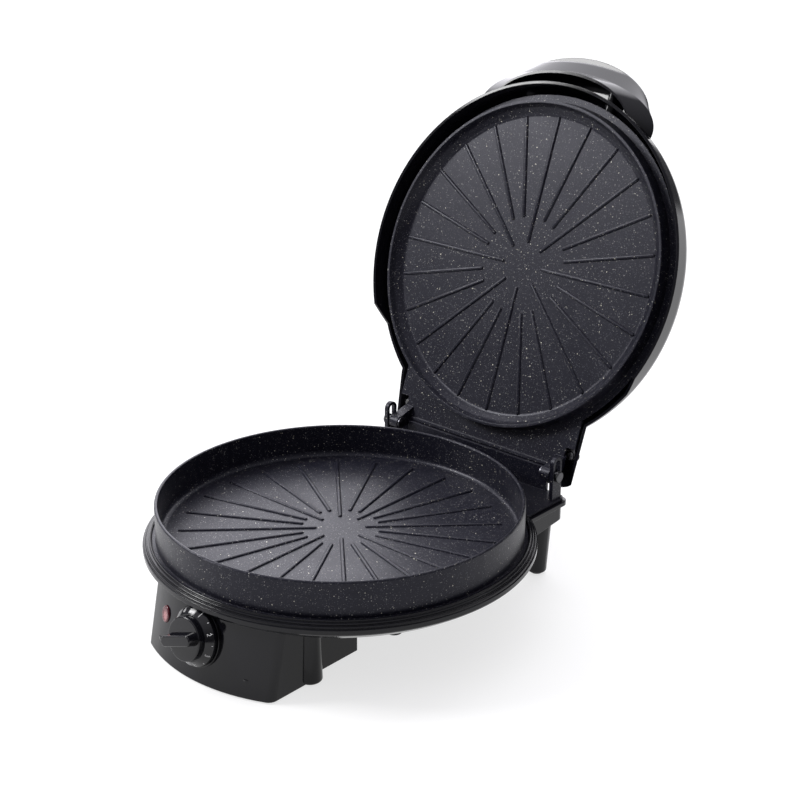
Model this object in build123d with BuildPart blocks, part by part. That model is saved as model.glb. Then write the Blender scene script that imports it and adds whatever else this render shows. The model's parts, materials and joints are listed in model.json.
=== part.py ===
from build123d import *
import os
from math import asin, atan2, cos, degrees, radians, sin, sqrt, tan

os.makedirs("parts", exist_ok=True)

# Electric pizza maker, standing on its feet with the lid swung open.
# Z = 0 is the table, the controls face -Y and the lid hinge is at +Y. All sizes are in
# millimetres. Every piece is drawn about the axis of the round pan, x = y = 0, and is then
# set down by in_frame, which brings the middle of the open appliance's box to x = y = 0.
box_middle_y = 75.8
in_frame = Location((0, -box_middle_y, 0))

# Lower pan
pan_outer_r = 160.0
pan_wall = 3.0
pan_top_z = 106.0
pan_floor_z = 75.0
pan_under_z = 70.5
pan_floor_fillet = 5.0
pan_flange_r = 163.2
pan_flange_z = 73.5
pan_inner_r = pan_outer_r - pan_wall

# Tail of the pan with its two hinge ears and the wall that stops the open lid
tail_half_w = 104.0
tail_top_z = 73.0
tail_end_y = 188.0
tail_corner_r = 6.0
tail_start_y = 90.0
stop_wall_t = 3.0
stop_wall_half_w = 84.0
stop_wall_top_z = 96.2

# Floating hinge
hinge_y = 176.8
hinge_z = 95.8
float_travel = 12.0
pin_r = 3.5
pin_fit = 0.05
slot_side_gap = 0.1
ear_inner_x = 98.0
ear_t = 4.0
ear_half_y = 6.5
pin_head_r = 5.2
pin_head_t = 3.0
pin_head_gap = 0.4
lug_inner_x = 86.5
lug_outer_x = 96.5
lug_r = 6.5
circlip_t = 1.0
circlip_gap = 0.3
circlip_r = 5.6
pin_tip_past_clip = 1.0
pin_head_round = 1.2
groove_r = 2.9
circlip_side_gap = 0.05
circlip_bore_gap = 0.05
circlip_mouth_w = 3.6
lug_root_y = 158.0

# Lid, given as it lies when closed
lid_open_deg = 110.4
skirt_r = 170.8
skirt_edge_z = 95.3
shoulder_r = 168.0
shoulder_z = 112.0
dome_break_r = 150.5
dome_break_z = 130.5
lid_top_z = 137.0
lid_wall = 2.6
skirt_rear_z = 108.5
skirt_cut_start_y = 71.0
skirt_cut_end_y = 89.0
lid_tail_half_w = 112.0
lid_tail_end_y = 193.7
lid_tail_low_z = 107.0
lid_tail_top_z = 128.0
lid_tail_draft = 34.0
lid_tail_start_y = 80.0
lid_tail_edge_rear_z = 115.6
lid_tail_edge_start_y = 122.0
lid_tail_corner_r = 9.0
lid_tail_inner_corner_r = 3.0
lid_mid_r = 133.0
lid_mid_z = 134.1
lid_foot = 12.0
lid_notch_low_z = 80.0

# Upper plate, given as it lies when the lid is closed
crest_z = 95.8
crest_outer_r = 153.2
crest_inner_r = 150.6
dish_side_r = 147.9
dish_side_z = 101.0
dish_floor_z = 106.5
dish_floor_r = 141.6
dish_side_round = 6.0
dish_floor_round = 5.0
plate_flange_z = 109.0
plate_flange_r = 161.0
plate_t = 2.6
plate_wall_root_r = 154.6
plate_tail_half_w = 104.6
plate_tail_end_y = 172.0
plate_notch_x = 95.0
plate_notch_y = 151.0
plate_bead_w = 3.0
plate_bead_h = 2.7

# Radial ribs on both cooking faces
rib_count = 24
rib_h = 1.3
rib_w = 2.6
rib_draft = 24.0
rib_outer_r = 141.0
long_rib_inner_r = 21.0
pan_short_rib_inner_r = 33.5
plate_short_rib_inner_r = 45.0
long_rib_every = 3

# Handle lip at the front of the lid, given as it lies when closed
handle_centre_y = -142.0
handle_low_z = 101.0
handle_crease_z = 112.3
handle_top_z = 126.0
handle_rise_deg = 6.7
handle_low_a = 77.0
handle_low_b = 40.5
handle_crease_a = 98.7
handle_crease_b = 42.2
handle_top_a = 83.8
handle_top_b = 64.5
handle_wall = 3.0
handle_roof = 4.0
handle_round = 3.0
handle_boss_x = 45.0
handle_boss_z = 117.0
handle_boss_r = 4.2
handle_web_t = 3.0
handle_seat_y = -151.4
handle_pad_r = 5.0
handle_pad_end_y = -160.5
handle_screw_len = 15.0
handle_gap = 0.1

# Base shell
shell_wall = 2.6
lip_inner_r = 163.7
lip_top_z = 75.0
rim_r = 171.3
rim_high_z = 69.4
rim_low_z = 65.6
ridge_count = 4
ridge_drop = 1.4
bowl_start_r = 162.0
bowl_start_z = 58.0
bowl_end_r = 117.0
bowl_end_z = 34.2
base_floor_r = 106.0
base_floor_z = 31.0

# Rear block under the tail of the pan
block_half_w = 104.4
block_end_y = 187.4
block_top_z = 70.2
block_flange_low_z = 66.4
block_flange_out = 3.1
block_low_rear_z = 53.0
block_low_front_z = 44.0
block_start_y = 100.0
block_corner_r = 9.0

# Control housing
panel_tilt_deg = 12.0
panel_low_z = 1.5
panel_apex_y = -176.5
panel_r = 160.0
housing_half_w = 74.0
housing_step_y = -112.0
housing_hollow_y = -125.0
housing_overlap = 14.0
housing_rear_y = -59.0
housing_rear_low_z = 7.0
housing_top_z = 64.0
housing_corner_r = 8.0
housing_wall = 2.6

# Foot columns
front_foot_inset = 3.0
front_foot_x = housing_half_w - front_foot_inset
front_foot_y = -112.0
rear_foot_x = 91.0
rear_foot_y = 166.0
front_column_low_r = 10.5
front_column_top_r = 9.0
rear_column_low_r = 9.0
rear_column_top_r = 12.0
column_low_z = 1.5
column_round = 2.5
foot_pad_r = 6.0
foot_peg_r = 3.5
foot_peg_len = 5.5
foot_recess = 1.5
foot_pad_round = 0.8
peg_fit = 0.1

# Bottom cover of the control housing
cover_low_z = 5.0
cover_t = 2.0
cover_gap = 0.4
cover_boss_r = 5.0
cover_boss_top_z = 17.0
cover_screw_len = 10.0
cover_side_boss_y = -133.0
cover_front_boss_x = 50.0
cover_boss_sink = 0.6

# Ventilation slots in the floor of the base
vent_count = 7
vent_pitch = 12.0
vent_w = 3.0
vent_len = 46.0
vent_centre_x = 40.0

# Knob, dial and indicator
knob_z = 38.7
dial_plate_r = 26.0
dial_plate_out = 1.2
skirt_ring_r = 24.5
skirt_ring_low = 1.7
skirt_side_t = 3.0
skirt_cone_t = 5.3
skirt_cone_deg = 43.0
knob_cap_r = 18.4
knob_cap_top = 15.6
grip_len = 36.0
grip_w = 11.0
grip_top = 25.0
grip_taper = 6.0
grip_turn_deg = 20.0
grip_round = 1.0
knob_cap_round = 1.6
dial_plate_depth = 5.0
dial_plate_gap = 0.15
dial_top_gap = 0.3
hood_clear = 0.8
hood_depth = 8.0
dial_plate_round = 0.4
shaft_depth = 12.0
bush_seat = 2.9
thermostat_round = 1.0
lens_seat_gap = 0.3
lamp_round = 1.5
shaft_r = 3.0
shaft_fit = 0.05
bush_r = 5.0
bush_clear = 0.2
nut_across = 14.0
nut_t = 2.4
lens_x = -45.5
lens_z = 39.2
lens_w = 12.0
lens_h = 14.6
lens_out = 1.6
lens_fit = 0.15
lens_flange = 1.2
lens_flange_t = 1.5
lens_round = 1.2
lamp_r = 2.4
lamp_len = 9.0
lamp_gap = 0.6
lamp_lead_r = 0.4
lamp_lead_len = 6.0
lamp_holder_r = 4.6
lamp_holder_len = 12.0
skirt_pocket_r = 12.0
skirt_pocket_top = 5.0
cap_hub_r = 5.9
hub_fit = 0.05
cap_bore_top = 19.0
shaft_flat = 1.9
shaft_end_gap = 0.5
bush_end = 4.2
bush_shoulder_r = 8.0
thermostat_front = 3.8
thermostat_w = 34.0
thermostat_h = 26.0
thermostat_d = 20.0
thermostat_tab_w = 6.3
thermostat_tab_t = 0.8
thermostat_tab_len = 8.0

# Heating and electrical pieces
element_r = 3.3
element_ring_r = 105.0
element_gap_deg = 24.0
element_seat_gap = 0.2
cold_end_r = 2.0
cold_end_len = 6.0
clip_w = 12.0
clip_t = 1.2
clip_play = 0.4
clip_count = 3
reflector_t = 0.8
reflector_gap = 0.05
end_hole_gap = 1.0
lower_element_end_z = 45.0
upper_element_end_z = 127.0
clip_foot = 7.0
tab_root_x = 80.0
tab_root_y = 110.0
tab_w = 8.0
low_reflector_r = 124.0
low_reflector_z = 57.0
low_reflector_flange_r = 138.0
low_reflector_rise_r = 132.0
top_reflector_r = 118.0
top_reflector_z = 124.0
top_reflector_rise_r = 128.0
top_reflector_flange_r = 144.0
top_reflector_flange_z = 116.6

# Cord inlet bush in the rear wall of the control housing
inlet_x = 0.0
inlet_z = 20.0
inlet_body_r = 6.0
inlet_flange_r = 8.5
inlet_flange_t = 2.5
inlet_bore_r = 3.6
inlet_len = 10.0
inlet_round = 0.8

# Terminal block and thermal fuse
terminal_x = 0.0
terminal_y = -92.0
terminal_w = 36.0
terminal_d = 14.0
terminal_h = 16.0
terminal_pitch = 12.0
terminal_well_r = 2.6
terminal_well_depth = 11.0
terminal_bore_z = 6.5
terminal_bore_r = 1.8
terminal_screw_h = 4.0
fuse_y = -40.0
fuse_r = 2.0
fuse_len = 11.0
fuse_round = 0.5
fuse_drop = 2.9
fuse_lead_len = 9.0
fuse_clip_w = 8.0
fuse_clip_span = 18.0

# Screws and their bosses
screw_r = 2.0
screw_fit = 0.05
screw_head_r = 3.8
screw_head_h = 2.6
head_clear = 0.4
post_r = 6.5
post_ring_r = 148.0
post_angles = (30, 150, 210, 330)
pan_pad_z = 66.2
post_gap = 0.9
post_seat_z = 58.6
post_start_z = 52.0
screw_clear = 0.25
pan_screw_len = 13.0
plate_screw_len = 5.2
lid_screw_len = 6.0
plate_boss_r = 5.0
plate_boss_ring_r = 136.0
plate_boss_angles = (40, 90, 140, 220, 270, 320)
lid_boss_x = 98.0
lid_boss_y = 158.0
lid_boss_r = 4.4
lid_boss_low_z = 117.5
lid_boss_top_z = 124.0
lid_screw_grip = 5.5
handle_boss_end_y = -171.0
screw_head_round = 0.8
recess_len = 4.4
recess_w = 0.9
recess_depth = 1.2

# Planes and axes of the lid: local x, y, z are the closed lid's own x, y, z
swing = radians(lid_open_deg)
lid_origin = Vector(
    0,
    hinge_y - hinge_y * cos(swing) - hinge_z * sin(swing),
    hinge_z + hinge_y * sin(swing) - hinge_z * cos(swing),
)
lid_xy = Plane(origin=lid_origin, x_dir=(1, 0, 0), z_dir=(0, sin(swing), cos(swing)))
lid_xz = Plane(origin=lid_origin, x_dir=(1, 0, 0), z_dir=(0, -cos(swing), sin(swing)))
lid_yz = Plane(origin=lid_origin, x_dir=(0, cos(swing), -sin(swing)), z_dir=(1, 0, 0))
lid_axis = Axis(lid_origin, lid_xy.z_dir)


def rib_length(index, short_inner_r):
    """Inner radius of the rib with this index, every third one reaching further in."""
    return long_rib_inner_r if index % long_rib_every == 0 else short_inner_r


# Lower pan: round cooking dish, flange, tail, stop wall and hinge ears in one casting
ear_top_centre_z = hinge_z + float_travel
slot_half_w = pin_r + slot_side_gap
with BuildPart() as lower_pan:
    with BuildSketch(Plane.XZ) as pan_profile:
        with BuildLine():
            Polyline(
                (0, pan_under_z),
                (pan_flange_r, pan_under_z),
                (pan_flange_r, pan_flange_z),
                (pan_outer_r, pan_flange_z),
                (pan_outer_r, pan_top_z),
                (pan_inner_r, pan_top_z),
                (pan_inner_r, pan_floor_z),
                (0, pan_floor_z),
                close=True,
            )
        make_face()
        floor_corner = pan_profile.vertices().sort_by_distance((pan_inner_r, pan_floor_z, 0))[0]
        fillet(floor_corner, pan_floor_fillet)
        fillet(pan_profile.vertices().group_by(Axis.Y)[-1], pan_wall * 0.45)
    revolve(axis=Axis.Z)
    with BuildSketch(Plane.XY.offset(pan_under_z)) as tail_outline:
        with BuildLine():
            Polyline(
                (-tail_half_w, tail_start_y),
                (tail_half_w, tail_start_y),
                (tail_half_w, tail_end_y),
                (-tail_half_w, tail_end_y),
                close=True,
            )
        make_face()
        fillet(tail_outline.vertices().group_by(Axis.Y)[-1], tail_corner_r)
    extrude(amount=tail_top_z - pan_under_z)
    with BuildSketch(Plane.XY.offset(tail_top_z)):
        with Locations((0, tail_end_y - stop_wall_t / 2)):
            Rectangle(2 * stop_wall_half_w, stop_wall_t)
    extrude(amount=stop_wall_top_z - tail_top_z)
    for side in (-1, 1):
        with BuildSketch(Plane.YZ.offset(side * (ear_inner_x + ear_t / 2))):
            with Locations((hinge_y, ear_top_centre_z)):
                Circle(ear_half_y)
            with Locations((hinge_y, (ear_top_centre_z + pan_under_z) / 2)):
                Rectangle(2 * ear_half_y, ear_top_centre_z - pan_under_z)
            with Locations((hinge_y, hinge_z), (hinge_y, ear_top_centre_z)):
                Circle(slot_half_w, mode=Mode.SUBTRACT)
            with Locations((hinge_y, (hinge_z + ear_top_centre_z) / 2)):
                Rectangle(2 * slot_half_w, float_travel, mode=Mode.SUBTRACT)
        extrude(amount=ear_t / 2, both=True)
    for index in range(rib_count):
        inner = rib_length(index, pan_short_rib_inner_r)
        with BuildSketch(Plane.XY.offset(pan_floor_z)):
            with PolarLocations(0, 1, start_angle=index * 360 / rib_count):
                with Locations(((inner + rib_outer_r) / 2, 0)):
                    SlotOverall(rib_outer_r - inner, rib_w)
        extrude(amount=rib_h, taper=rib_draft)
    with BuildSketch(Plane.XY.offset(pan_pad_z)):
        for angle in post_angles:
            with PolarLocations(post_ring_r, 1, start_angle=angle):
                Circle(post_r)
    extrude(amount=pan_under_z - pan_pad_z)
    with BuildSketch(Plane.XY.offset(pan_pad_z)):
        for angle in post_angles:
            with PolarLocations(post_ring_r, 1, start_angle=angle):
                Circle(screw_r + screw_fit)
    extrude(amount=pan_floor_z - pan_pad_z - 2.0, mode=Mode.SUBTRACT)
lower_pan.part.label = "lower_pan"
lower_pan.part.location = in_frame
export_step(lower_pan.part, "parts/lower_pan.step")
print("lower_pan", lower_pan.part.is_valid, len(lower_pan.part.solids()))


# Base shell: bowl with ridged rim, control housing, rear block and foot columns in one moulding
tilt = radians(panel_tilt_deg)
panel_lean = Vector(0, sin(tilt), cos(tilt))
panel_centre_y = panel_apex_y + panel_r
foot_spots = (
    (front_foot_x, front_foot_y),
    (-front_foot_x, front_foot_y),
    (rear_foot_x, rear_foot_y),
    (-rear_foot_x, rear_foot_y),
)
column_h = block_low_rear_z + 1.0 - column_low_z
ridge_step = (rim_r - lip_inner_r - 1.6) / ridge_count


def bowl_outer_points():
    """Section of the outside of the bowl from the axis up to the inner edge of its lip."""
    points = [
        (0, base_floor_z),
        (base_floor_r, base_floor_z),
        (bowl_end_r, bowl_end_z),
        (bowl_start_r, bowl_start_z),
        (rim_r - 1.0, rim_low_z - 1.4),
        (rim_r, rim_low_z),
        (rim_r, rim_high_z),
    ]
    for index in range(ridge_count, 0, -1):
        ridge_r = lip_inner_r + 1.6 + index * ridge_step - ridge_step
        ridge_z = lip_top_z - index * ridge_drop
        points.append((ridge_r + ridge_step * 0.25, ridge_z))
        points.append((ridge_r, ridge_z + ridge_drop))
    points.append((lip_inner_r, lip_top_z))
    points.append((0, lip_top_z))
    return points


def bowl_inner_points():
    """Section of the hollow inside the bowl, one wall thickness in from the outside."""
    return [
        (0, base_floor_z + shell_wall),
        (base_floor_r - 1.0, base_floor_z + shell_wall),
        (bowl_end_r - 1.4, bowl_end_z + shell_wall),
        (bowl_start_r - 1.4, bowl_start_z + shell_wall),
        (rim_r - shell_wall - 0.4, rim_low_z),
        (rim_r - shell_wall, rim_high_z - shell_wall),
        (lip_inner_r, lip_top_z - shell_wall - 0.6),
        (lip_inner_r, lip_top_z + 1.0),
        (0, lip_top_z + 1.0),
    ]


def bowl_body(points):
    """Solid of revolution about the pan axis with this section."""
    with BuildPart(mode=Mode.PRIVATE) as bowl:
        with BuildSketch(Plane.XZ):
            with BuildLine():
                Polyline(*points, close=True)
            make_face()
        revolve(axis=Axis.Z)
    return bowl.part


# Front of the control housing, leaning back as it rises; grow moves every wall outwards
def housing_front(grow, low, high, rear_y):
    """Solid of the leaning front half of the housing between two heights."""
    half_w = housing_half_w + grow
    front_r = panel_r + grow
    corner_y = panel_centre_y - sqrt(front_r**2 - half_w**2)
    apex_y = panel_centre_y - front_r
    shift = tan(tilt) * (low - panel_low_z)
    back_y = rear_y + grow
    with BuildPart(mode=Mode.PRIVATE) as front:
        with BuildSketch(Plane.XY.offset(low)) as outline:
            with BuildLine():
                ThreePointArc(
                    (-half_w, corner_y + shift),
                    (0, apex_y + shift),
                    (half_w, corner_y + shift),
                )
                Polyline(
                    (half_w, corner_y + shift),
                    (half_w, back_y),
                    (-half_w, back_y),
                    (-half_w, corner_y + shift),
                )
            make_face()
            fillet(outline.vertices().group_by(Axis.Y)[0], max(housing_corner_r + grow, 1.0))
        extrude(amount=(high - low) / cos(tilt), dir=panel_lean)
    return front.part


def housing_rear(grow, low, high):
    """Solid of the upright rear half of the housing between two heights."""
    with BuildPart(mode=Mode.PRIVATE) as rear:
        with BuildSketch(Plane.XY.offset(low)) as outline:
            with BuildLine():
                Polyline(
                    (-housing_half_w - grow, housing_hollow_y - housing_overlap),
                    (housing_half_w + grow, housing_hollow_y - housing_overlap),
                    (housing_half_w + grow, housing_rear_y + grow),
                    (-housing_half_w - grow, housing_rear_y + grow),
                    close=True,
                )
            make_face()
        extrude(amount=high - low)
    return rear.part


def block_body(grow, low_shift, high):
    """Solid of the rear block; its underside rises towards the back."""
    half_w = block_half_w + grow
    end_y = block_end_y + grow
    with BuildPart(mode=Mode.PRIVATE) as block:
        with BuildSketch(Plane.XY) as outline:
            with BuildLine():
                Polyline(
                    (-half_w, block_start_y),
                    (half_w, block_start_y),
                    (half_w, end_y),
                    (-half_w, end_y),
                    close=True,
                )
            make_face()
            fillet(outline.vertices().group_by(Axis.Y)[-1], block_corner_r + grow)
        extrude(amount=high)
        with BuildSketch(Plane.YZ.offset(-half_w - 1)):
            with BuildLine():
                Polyline(
                    (block_start_y - 1, -1),
                    (end_y + 1, -1),
                    (end_y + 1, block_low_rear_z + low_shift),
                    (block_start_y - 1, block_low_front_z + low_shift),
                    close=True,
                )
            make_face()
        extrude(amount=2 * half_w + 2, mode=Mode.SUBTRACT)
    return block.part


def panel_plane(x, z):
    """Plane lying on the control panel at this width and height, facing outwards."""
    turn = asin(x / panel_r)
    y = panel_centre_y - panel_r * cos(turn) + tan(tilt) * (z - panel_low_z)
    facing = (sin(turn) * cos(tilt), -cos(turn) * cos(tilt), cos(turn) * sin(tilt))
    return Plane(origin=(x, y, z), x_dir=(cos(turn), sin(turn), 0), z_dir=facing)


knob_plane = panel_plane(0, knob_z)
lens_plane = panel_plane(lens_x, lens_z)
inlet_plane = Plane(origin=(inlet_x, housing_rear_y, inlet_z), x_dir=(-1, 0, 0), z_dir=(0, 1, 0))
wall_cut = housing_wall + 1.6
cover_side_boss_x = housing_half_w - housing_wall - cover_boss_r + cover_boss_sink
panel_inner_y = panel_centre_y - sqrt((panel_r - housing_wall) ** 2 - cover_front_boss_x**2)
cover_front_boss_y = (
    panel_inner_y + tan(tilt) * (cover_low_z - panel_low_z) + cover_boss_r - cover_boss_sink
)
cover_boss_spots = [
    (side * x, y)
    for x, y in (
        (cover_side_boss_x, cover_side_boss_y),
        (cover_front_boss_x, cover_front_boss_y),
    )
    for side in (1, -1)
]
bowl_outside = bowl_body(bowl_outer_points())

# Hood that keeps the bowl closed where its underside is scooped out over the knob
with BuildPart() as knob_hood:
    with BuildSketch(knob_plane.offset(-hood_depth)):
        Circle(skirt_ring_r + hood_clear + shell_wall)
    extrude(amount=2 * hood_depth)
    add(bowl_outside, mode=Mode.INTERSECT)

with BuildPart() as base_shell:
    add(bowl_outside)
    add(housing_front(0, panel_low_z, housing_top_z, housing_step_y))
    add(housing_rear(0, housing_rear_low_z, bowl_start_z))
    add(block_body(0, 0, block_top_z))
    with BuildSketch(Plane.XY.offset(block_flange_low_z)) as flange_outline:
        with BuildLine():
            Polyline(
                (-block_half_w - block_flange_out, block_start_y),
                (block_half_w + block_flange_out, block_start_y),
                (block_half_w + block_flange_out, block_end_y + block_flange_out),
                (-block_half_w - block_flange_out, block_end_y + block_flange_out),
                close=True,
            )
        make_face()
        fillet(flange_outline.vertices().group_by(Axis.Y)[-1], block_corner_r)
    extrude(amount=block_top_z - block_flange_low_z)
    for x, y in foot_spots:
        low_r = front_column_low_r if y < 0 else rear_column_low_r
        top_r = front_column_top_r if y < 0 else rear_column_top_r
        with Locations((x, y, column_low_z + column_h / 2)):
            Cone(low_r, top_r, column_h)
    column_rings = base_shell.edges().filter_by(GeomType.CIRCLE).filter_by(
        lambda edge: edge.center().Z < column_low_z + 0.1
        and min(abs(edge.radius - r) for r in (front_column_low_r, rear_column_low_r)) < 0.01
    )
    fillet(column_rings, column_round)
    add(bowl_body(bowl_inner_points()), mode=Mode.SUBTRACT)
    add(
        housing_front(-housing_wall, panel_low_z - 1.0, housing_top_z - 1.0, housing_hollow_y),
        mode=Mode.SUBTRACT,
    )
    add(
        housing_rear(-housing_wall, housing_rear_low_z + housing_wall, bowl_start_z),
        mode=Mode.SUBTRACT,
    )
    add(block_body(-shell_wall, shell_wall, lip_top_z + 1.0), mode=Mode.SUBTRACT)
    with BuildSketch(Plane.XY.offset(block_top_z)):
        with Locations((0, (tail_start_y + tail_end_y + 20.0) / 2)):
            Rectangle(2 * (tail_half_w + 0.5), tail_end_y + 20.0 - tail_start_y)
    extrude(amount=lip_top_z - block_top_z + 1.0, mode=Mode.SUBTRACT)
    for angle in post_angles:
        with BuildSketch(Plane.XY.offset(post_start_z)):
            with PolarLocations(post_ring_r, 1, start_angle=angle):
                Circle(post_r)
        extrude(amount=pan_pad_z - post_gap - post_start_z)
        with BuildSketch(Plane.XY.offset(post_seat_z)):
            with PolarLocations(post_ring_r, 1, start_angle=angle):
                Circle(screw_r + screw_clear)
        extrude(amount=pan_pad_z - post_seat_z, mode=Mode.SUBTRACT)
        with BuildSketch(Plane.XY.offset(base_floor_z)):
            with PolarLocations(post_ring_r, 1, start_angle=angle):
                Circle(screw_head_r + head_clear)
        extrude(amount=post_seat_z - base_floor_z, mode=Mode.SUBTRACT)
    with BuildSketch(Plane.XY.offset(cover_low_z + cover_t)):
        with Locations(*cover_boss_spots):
            Circle(cover_boss_r)
    extrude(amount=cover_boss_top_z - cover_low_z - cover_t)
    with BuildSketch(Plane.XY.offset(cover_low_z)):
        with Locations(*cover_boss_spots):
            Circle(screw_r + screw_fit)
    extrude(amount=cover_screw_len + 0.5, mode=Mode.SUBTRACT)
    with BuildSketch(Plane.XY.offset(column_low_z)):
        with Locations(*foot_spots):
            Circle(foot_pad_r + peg_fit)
    extrude(amount=foot_recess, mode=Mode.SUBTRACT)
    with BuildSketch(Plane.XY.offset(column_low_z + foot_recess)):
        with Locations(*foot_spots):
            Circle(foot_peg_r + peg_fit)
    extrude(amount=foot_peg_len + 0.3, mode=Mode.SUBTRACT)
    with BuildSketch(Plane.XY.offset(base_floor_z)):
        for side in (-1, 1):
            for index in range(vent_count):
                with Locations((side * vent_centre_x, (index - 1) * vent_pitch)):
                    SlotOverall(vent_len, vent_w)
    extrude(amount=shell_wall, mode=Mode.SUBTRACT)
    add(knob_hood.part)
    with BuildSketch(knob_plane.offset(skirt_ring_low - hood_clear)):
        Circle(skirt_ring_r + hood_clear)
    extrude(amount=2 * hood_depth, mode=Mode.SUBTRACT)
    with BuildSketch(knob_plane.offset(-wall_cut)):
        Circle(bush_r + bush_clear)
    extrude(amount=2 * wall_cut, mode=Mode.SUBTRACT)
    with BuildSketch(lens_plane.offset(-wall_cut)):
        Ellipse(lens_w / 2 + lens_fit, lens_h / 2 + lens_fit)
    extrude(amount=2 * wall_cut, mode=Mode.SUBTRACT)
    with BuildSketch(inlet_plane.offset(-housing_wall - 1.0)):
        Circle(inlet_body_r + peg_fit)
    extrude(amount=housing_wall + 2.0, mode=Mode.SUBTRACT)
base_shell.part.label = "base_shell"
base_shell.part.location = in_frame
export_step(base_shell.part, "parts/base_shell.step")
print("base_shell", base_shell.part.is_valid, len(base_shell.part.solids()), base_shell.part.volume)


# Screw with a flat head and a cross recess, its shank along +Z from the seat of the head
def screw_body(length):
    """Screw whose head hangs below the origin and whose shank rises above it."""
    with BuildPart(mode=Mode.PRIVATE) as screw:
        with BuildSketch(Plane.XY.offset(-screw_head_h)):
            Circle(screw_head_r)
        extrude(amount=screw_head_h)
        fillet(screw.edges().group_by(Axis.Z)[0], screw_head_round)
        with BuildSketch():
            Circle(screw_r)
        extrude(amount=length)
        with BuildSketch(Plane.XY.offset(-screw_head_h)):
            Rectangle(recess_len, recess_w)
            Rectangle(recess_w, recess_len)
        extrude(amount=recess_depth, mode=Mode.SUBTRACT)
    return screw.part


def ring_plane(base, radius, angle, height):
    """Plane on a circle about the plane's own Z, parallel to the plane."""
    x = radius * cos(radians(angle))
    y = radius * sin(radians(angle))
    return Plane(base.location * Location((x, y, height)))


# Lid shell: domed cover with flared skirt and a square tail over the hinge
def dome_body(inset, foot):
    """Solid under the lid's dome, drawn in by inset and carried down past the skirt by foot."""
    slope = atan2(shoulder_z - skirt_edge_z, skirt_r - shoulder_r)
    chord = atan2(dome_break_z - shoulder_z, shoulder_r - dome_break_r)
    rise = 2 * chord - slope
    low = (
        skirt_r - inset * sin(slope) + foot * cos(slope),
        skirt_edge_z - inset * cos(slope) - foot * sin(slope),
    )
    shoulder = (shoulder_r - inset * sin(slope), shoulder_z - inset * cos(slope))
    dome_break = (dome_break_r - inset * sin(rise), dome_break_z - inset * cos(rise))
    with BuildPart(mode=Mode.PRIVATE) as dome:
        with BuildSketch(lid_xz):
            with BuildLine():
                Line(low, shoulder)
                TangentArc(shoulder, dome_break, tangent=(-cos(slope), sin(slope)))
                Spline(
                    dome_break,
                    (lid_mid_r, lid_mid_z - inset),
                    (0, lid_top_z - inset),
                    tangents=[(-cos(rise), sin(rise)), (-1, 0)],
                )
                Polyline((0, lid_top_z - inset), (0, low[1]), low)
            make_face()
        revolve(axis=lid_axis)
    return dome.part


def lid_tail_body(inset, low, corner_r):
    """Solid of the drafted tail of the lid, drawn in by inset and starting at this height."""
    draft = radians(lid_tail_draft)
    grow = (lid_tail_low_z - low) * tan(draft) - inset / cos(draft)
    half_w = lid_tail_half_w + grow
    end_y = lid_tail_end_y + grow
    with BuildPart(mode=Mode.PRIVATE) as tail:
        with BuildSketch(lid_xy.offset(low)) as outline:
            with BuildLine():
                Polyline(
                    (-half_w, lid_tail_start_y),
                    (half_w, lid_tail_start_y),
                    (half_w, end_y),
                    (-half_w, end_y),
                    close=True,
                )
            make_face()
            fillet(outline.vertices().group_by(Axis.Y)[-1], corner_r)
        extrude(amount=lid_tail_top_z - inset - low, taper=lid_tail_draft)
    return tail.part


dome_outside = dome_body(0, 0)
with BuildPart() as lid_pads:
    with BuildSketch(lid_xz.offset(-handle_seat_y)):
        with Locations((-handle_boss_x, handle_boss_z), (handle_boss_x, handle_boss_z)):
            Circle(handle_pad_r)
    extrude(amount=handle_seat_y - handle_pad_end_y)
    add(dome_outside, mode=Mode.INTERSECT)

with BuildPart() as lid_shell:
    add(dome_outside)
    add(lid_tail_body(0, lid_tail_low_z, lid_tail_corner_r))
    with BuildSketch(lid_yz.offset(-skirt_r - 10.0)):
        with BuildLine():
            Polyline(
                (skirt_cut_start_y, lid_notch_low_z),
                (skirt_cut_start_y, skirt_edge_z - 1.3),
                (skirt_cut_end_y, skirt_rear_z),
                (lid_tail_edge_start_y + 7.7, skirt_rear_z),
                (lid_tail_end_y + 8.0, lid_tail_edge_rear_z + 1.04),
                (lid_tail_end_y + 8.0, lid_notch_low_z),
                close=True,
            )
        make_face()
    extrude(amount=2 * skirt_r + 20.0, mode=Mode.SUBTRACT)
    add(dome_body(lid_wall, lid_foot), mode=Mode.SUBTRACT)
    add(
        lid_tail_body(lid_wall, lid_tail_low_z - lid_foot, lid_tail_inner_corner_r),
        mode=Mode.SUBTRACT,
    )
    add(lid_pads.part)
    with BuildSketch(lid_xy.offset(lid_boss_low_z)):
        with Locations((-lid_boss_x, lid_boss_y), (lid_boss_x, lid_boss_y)):
            Circle(lid_boss_r)
    extrude(amount=lid_boss_top_z - lid_boss_low_z)
    with BuildSketch(lid_xy.offset(lid_boss_low_z)):
        with Locations((-lid_boss_x, lid_boss_y), (lid_boss_x, lid_boss_y)):
            Circle(screw_r + screw_fit)
    extrude(amount=lid_screw_grip, mode=Mode.SUBTRACT)
    with BuildSketch(lid_xz.offset(-handle_seat_y - 1.0)):
        with Locations((-handle_boss_x, handle_boss_z), (handle_boss_x, handle_boss_z)):
            Circle(screw_r + screw_clear)
    extrude(amount=handle_screw_len, mode=Mode.SUBTRACT)
lid_shell.part.label = "lid_shell"
lid_shell.part.location = in_frame
export_step(lid_shell.part, "parts/lid_shell.step")
print("lid_shell", lid_shell.part.is_valid, len(lid_shell.part.solids()))


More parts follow.
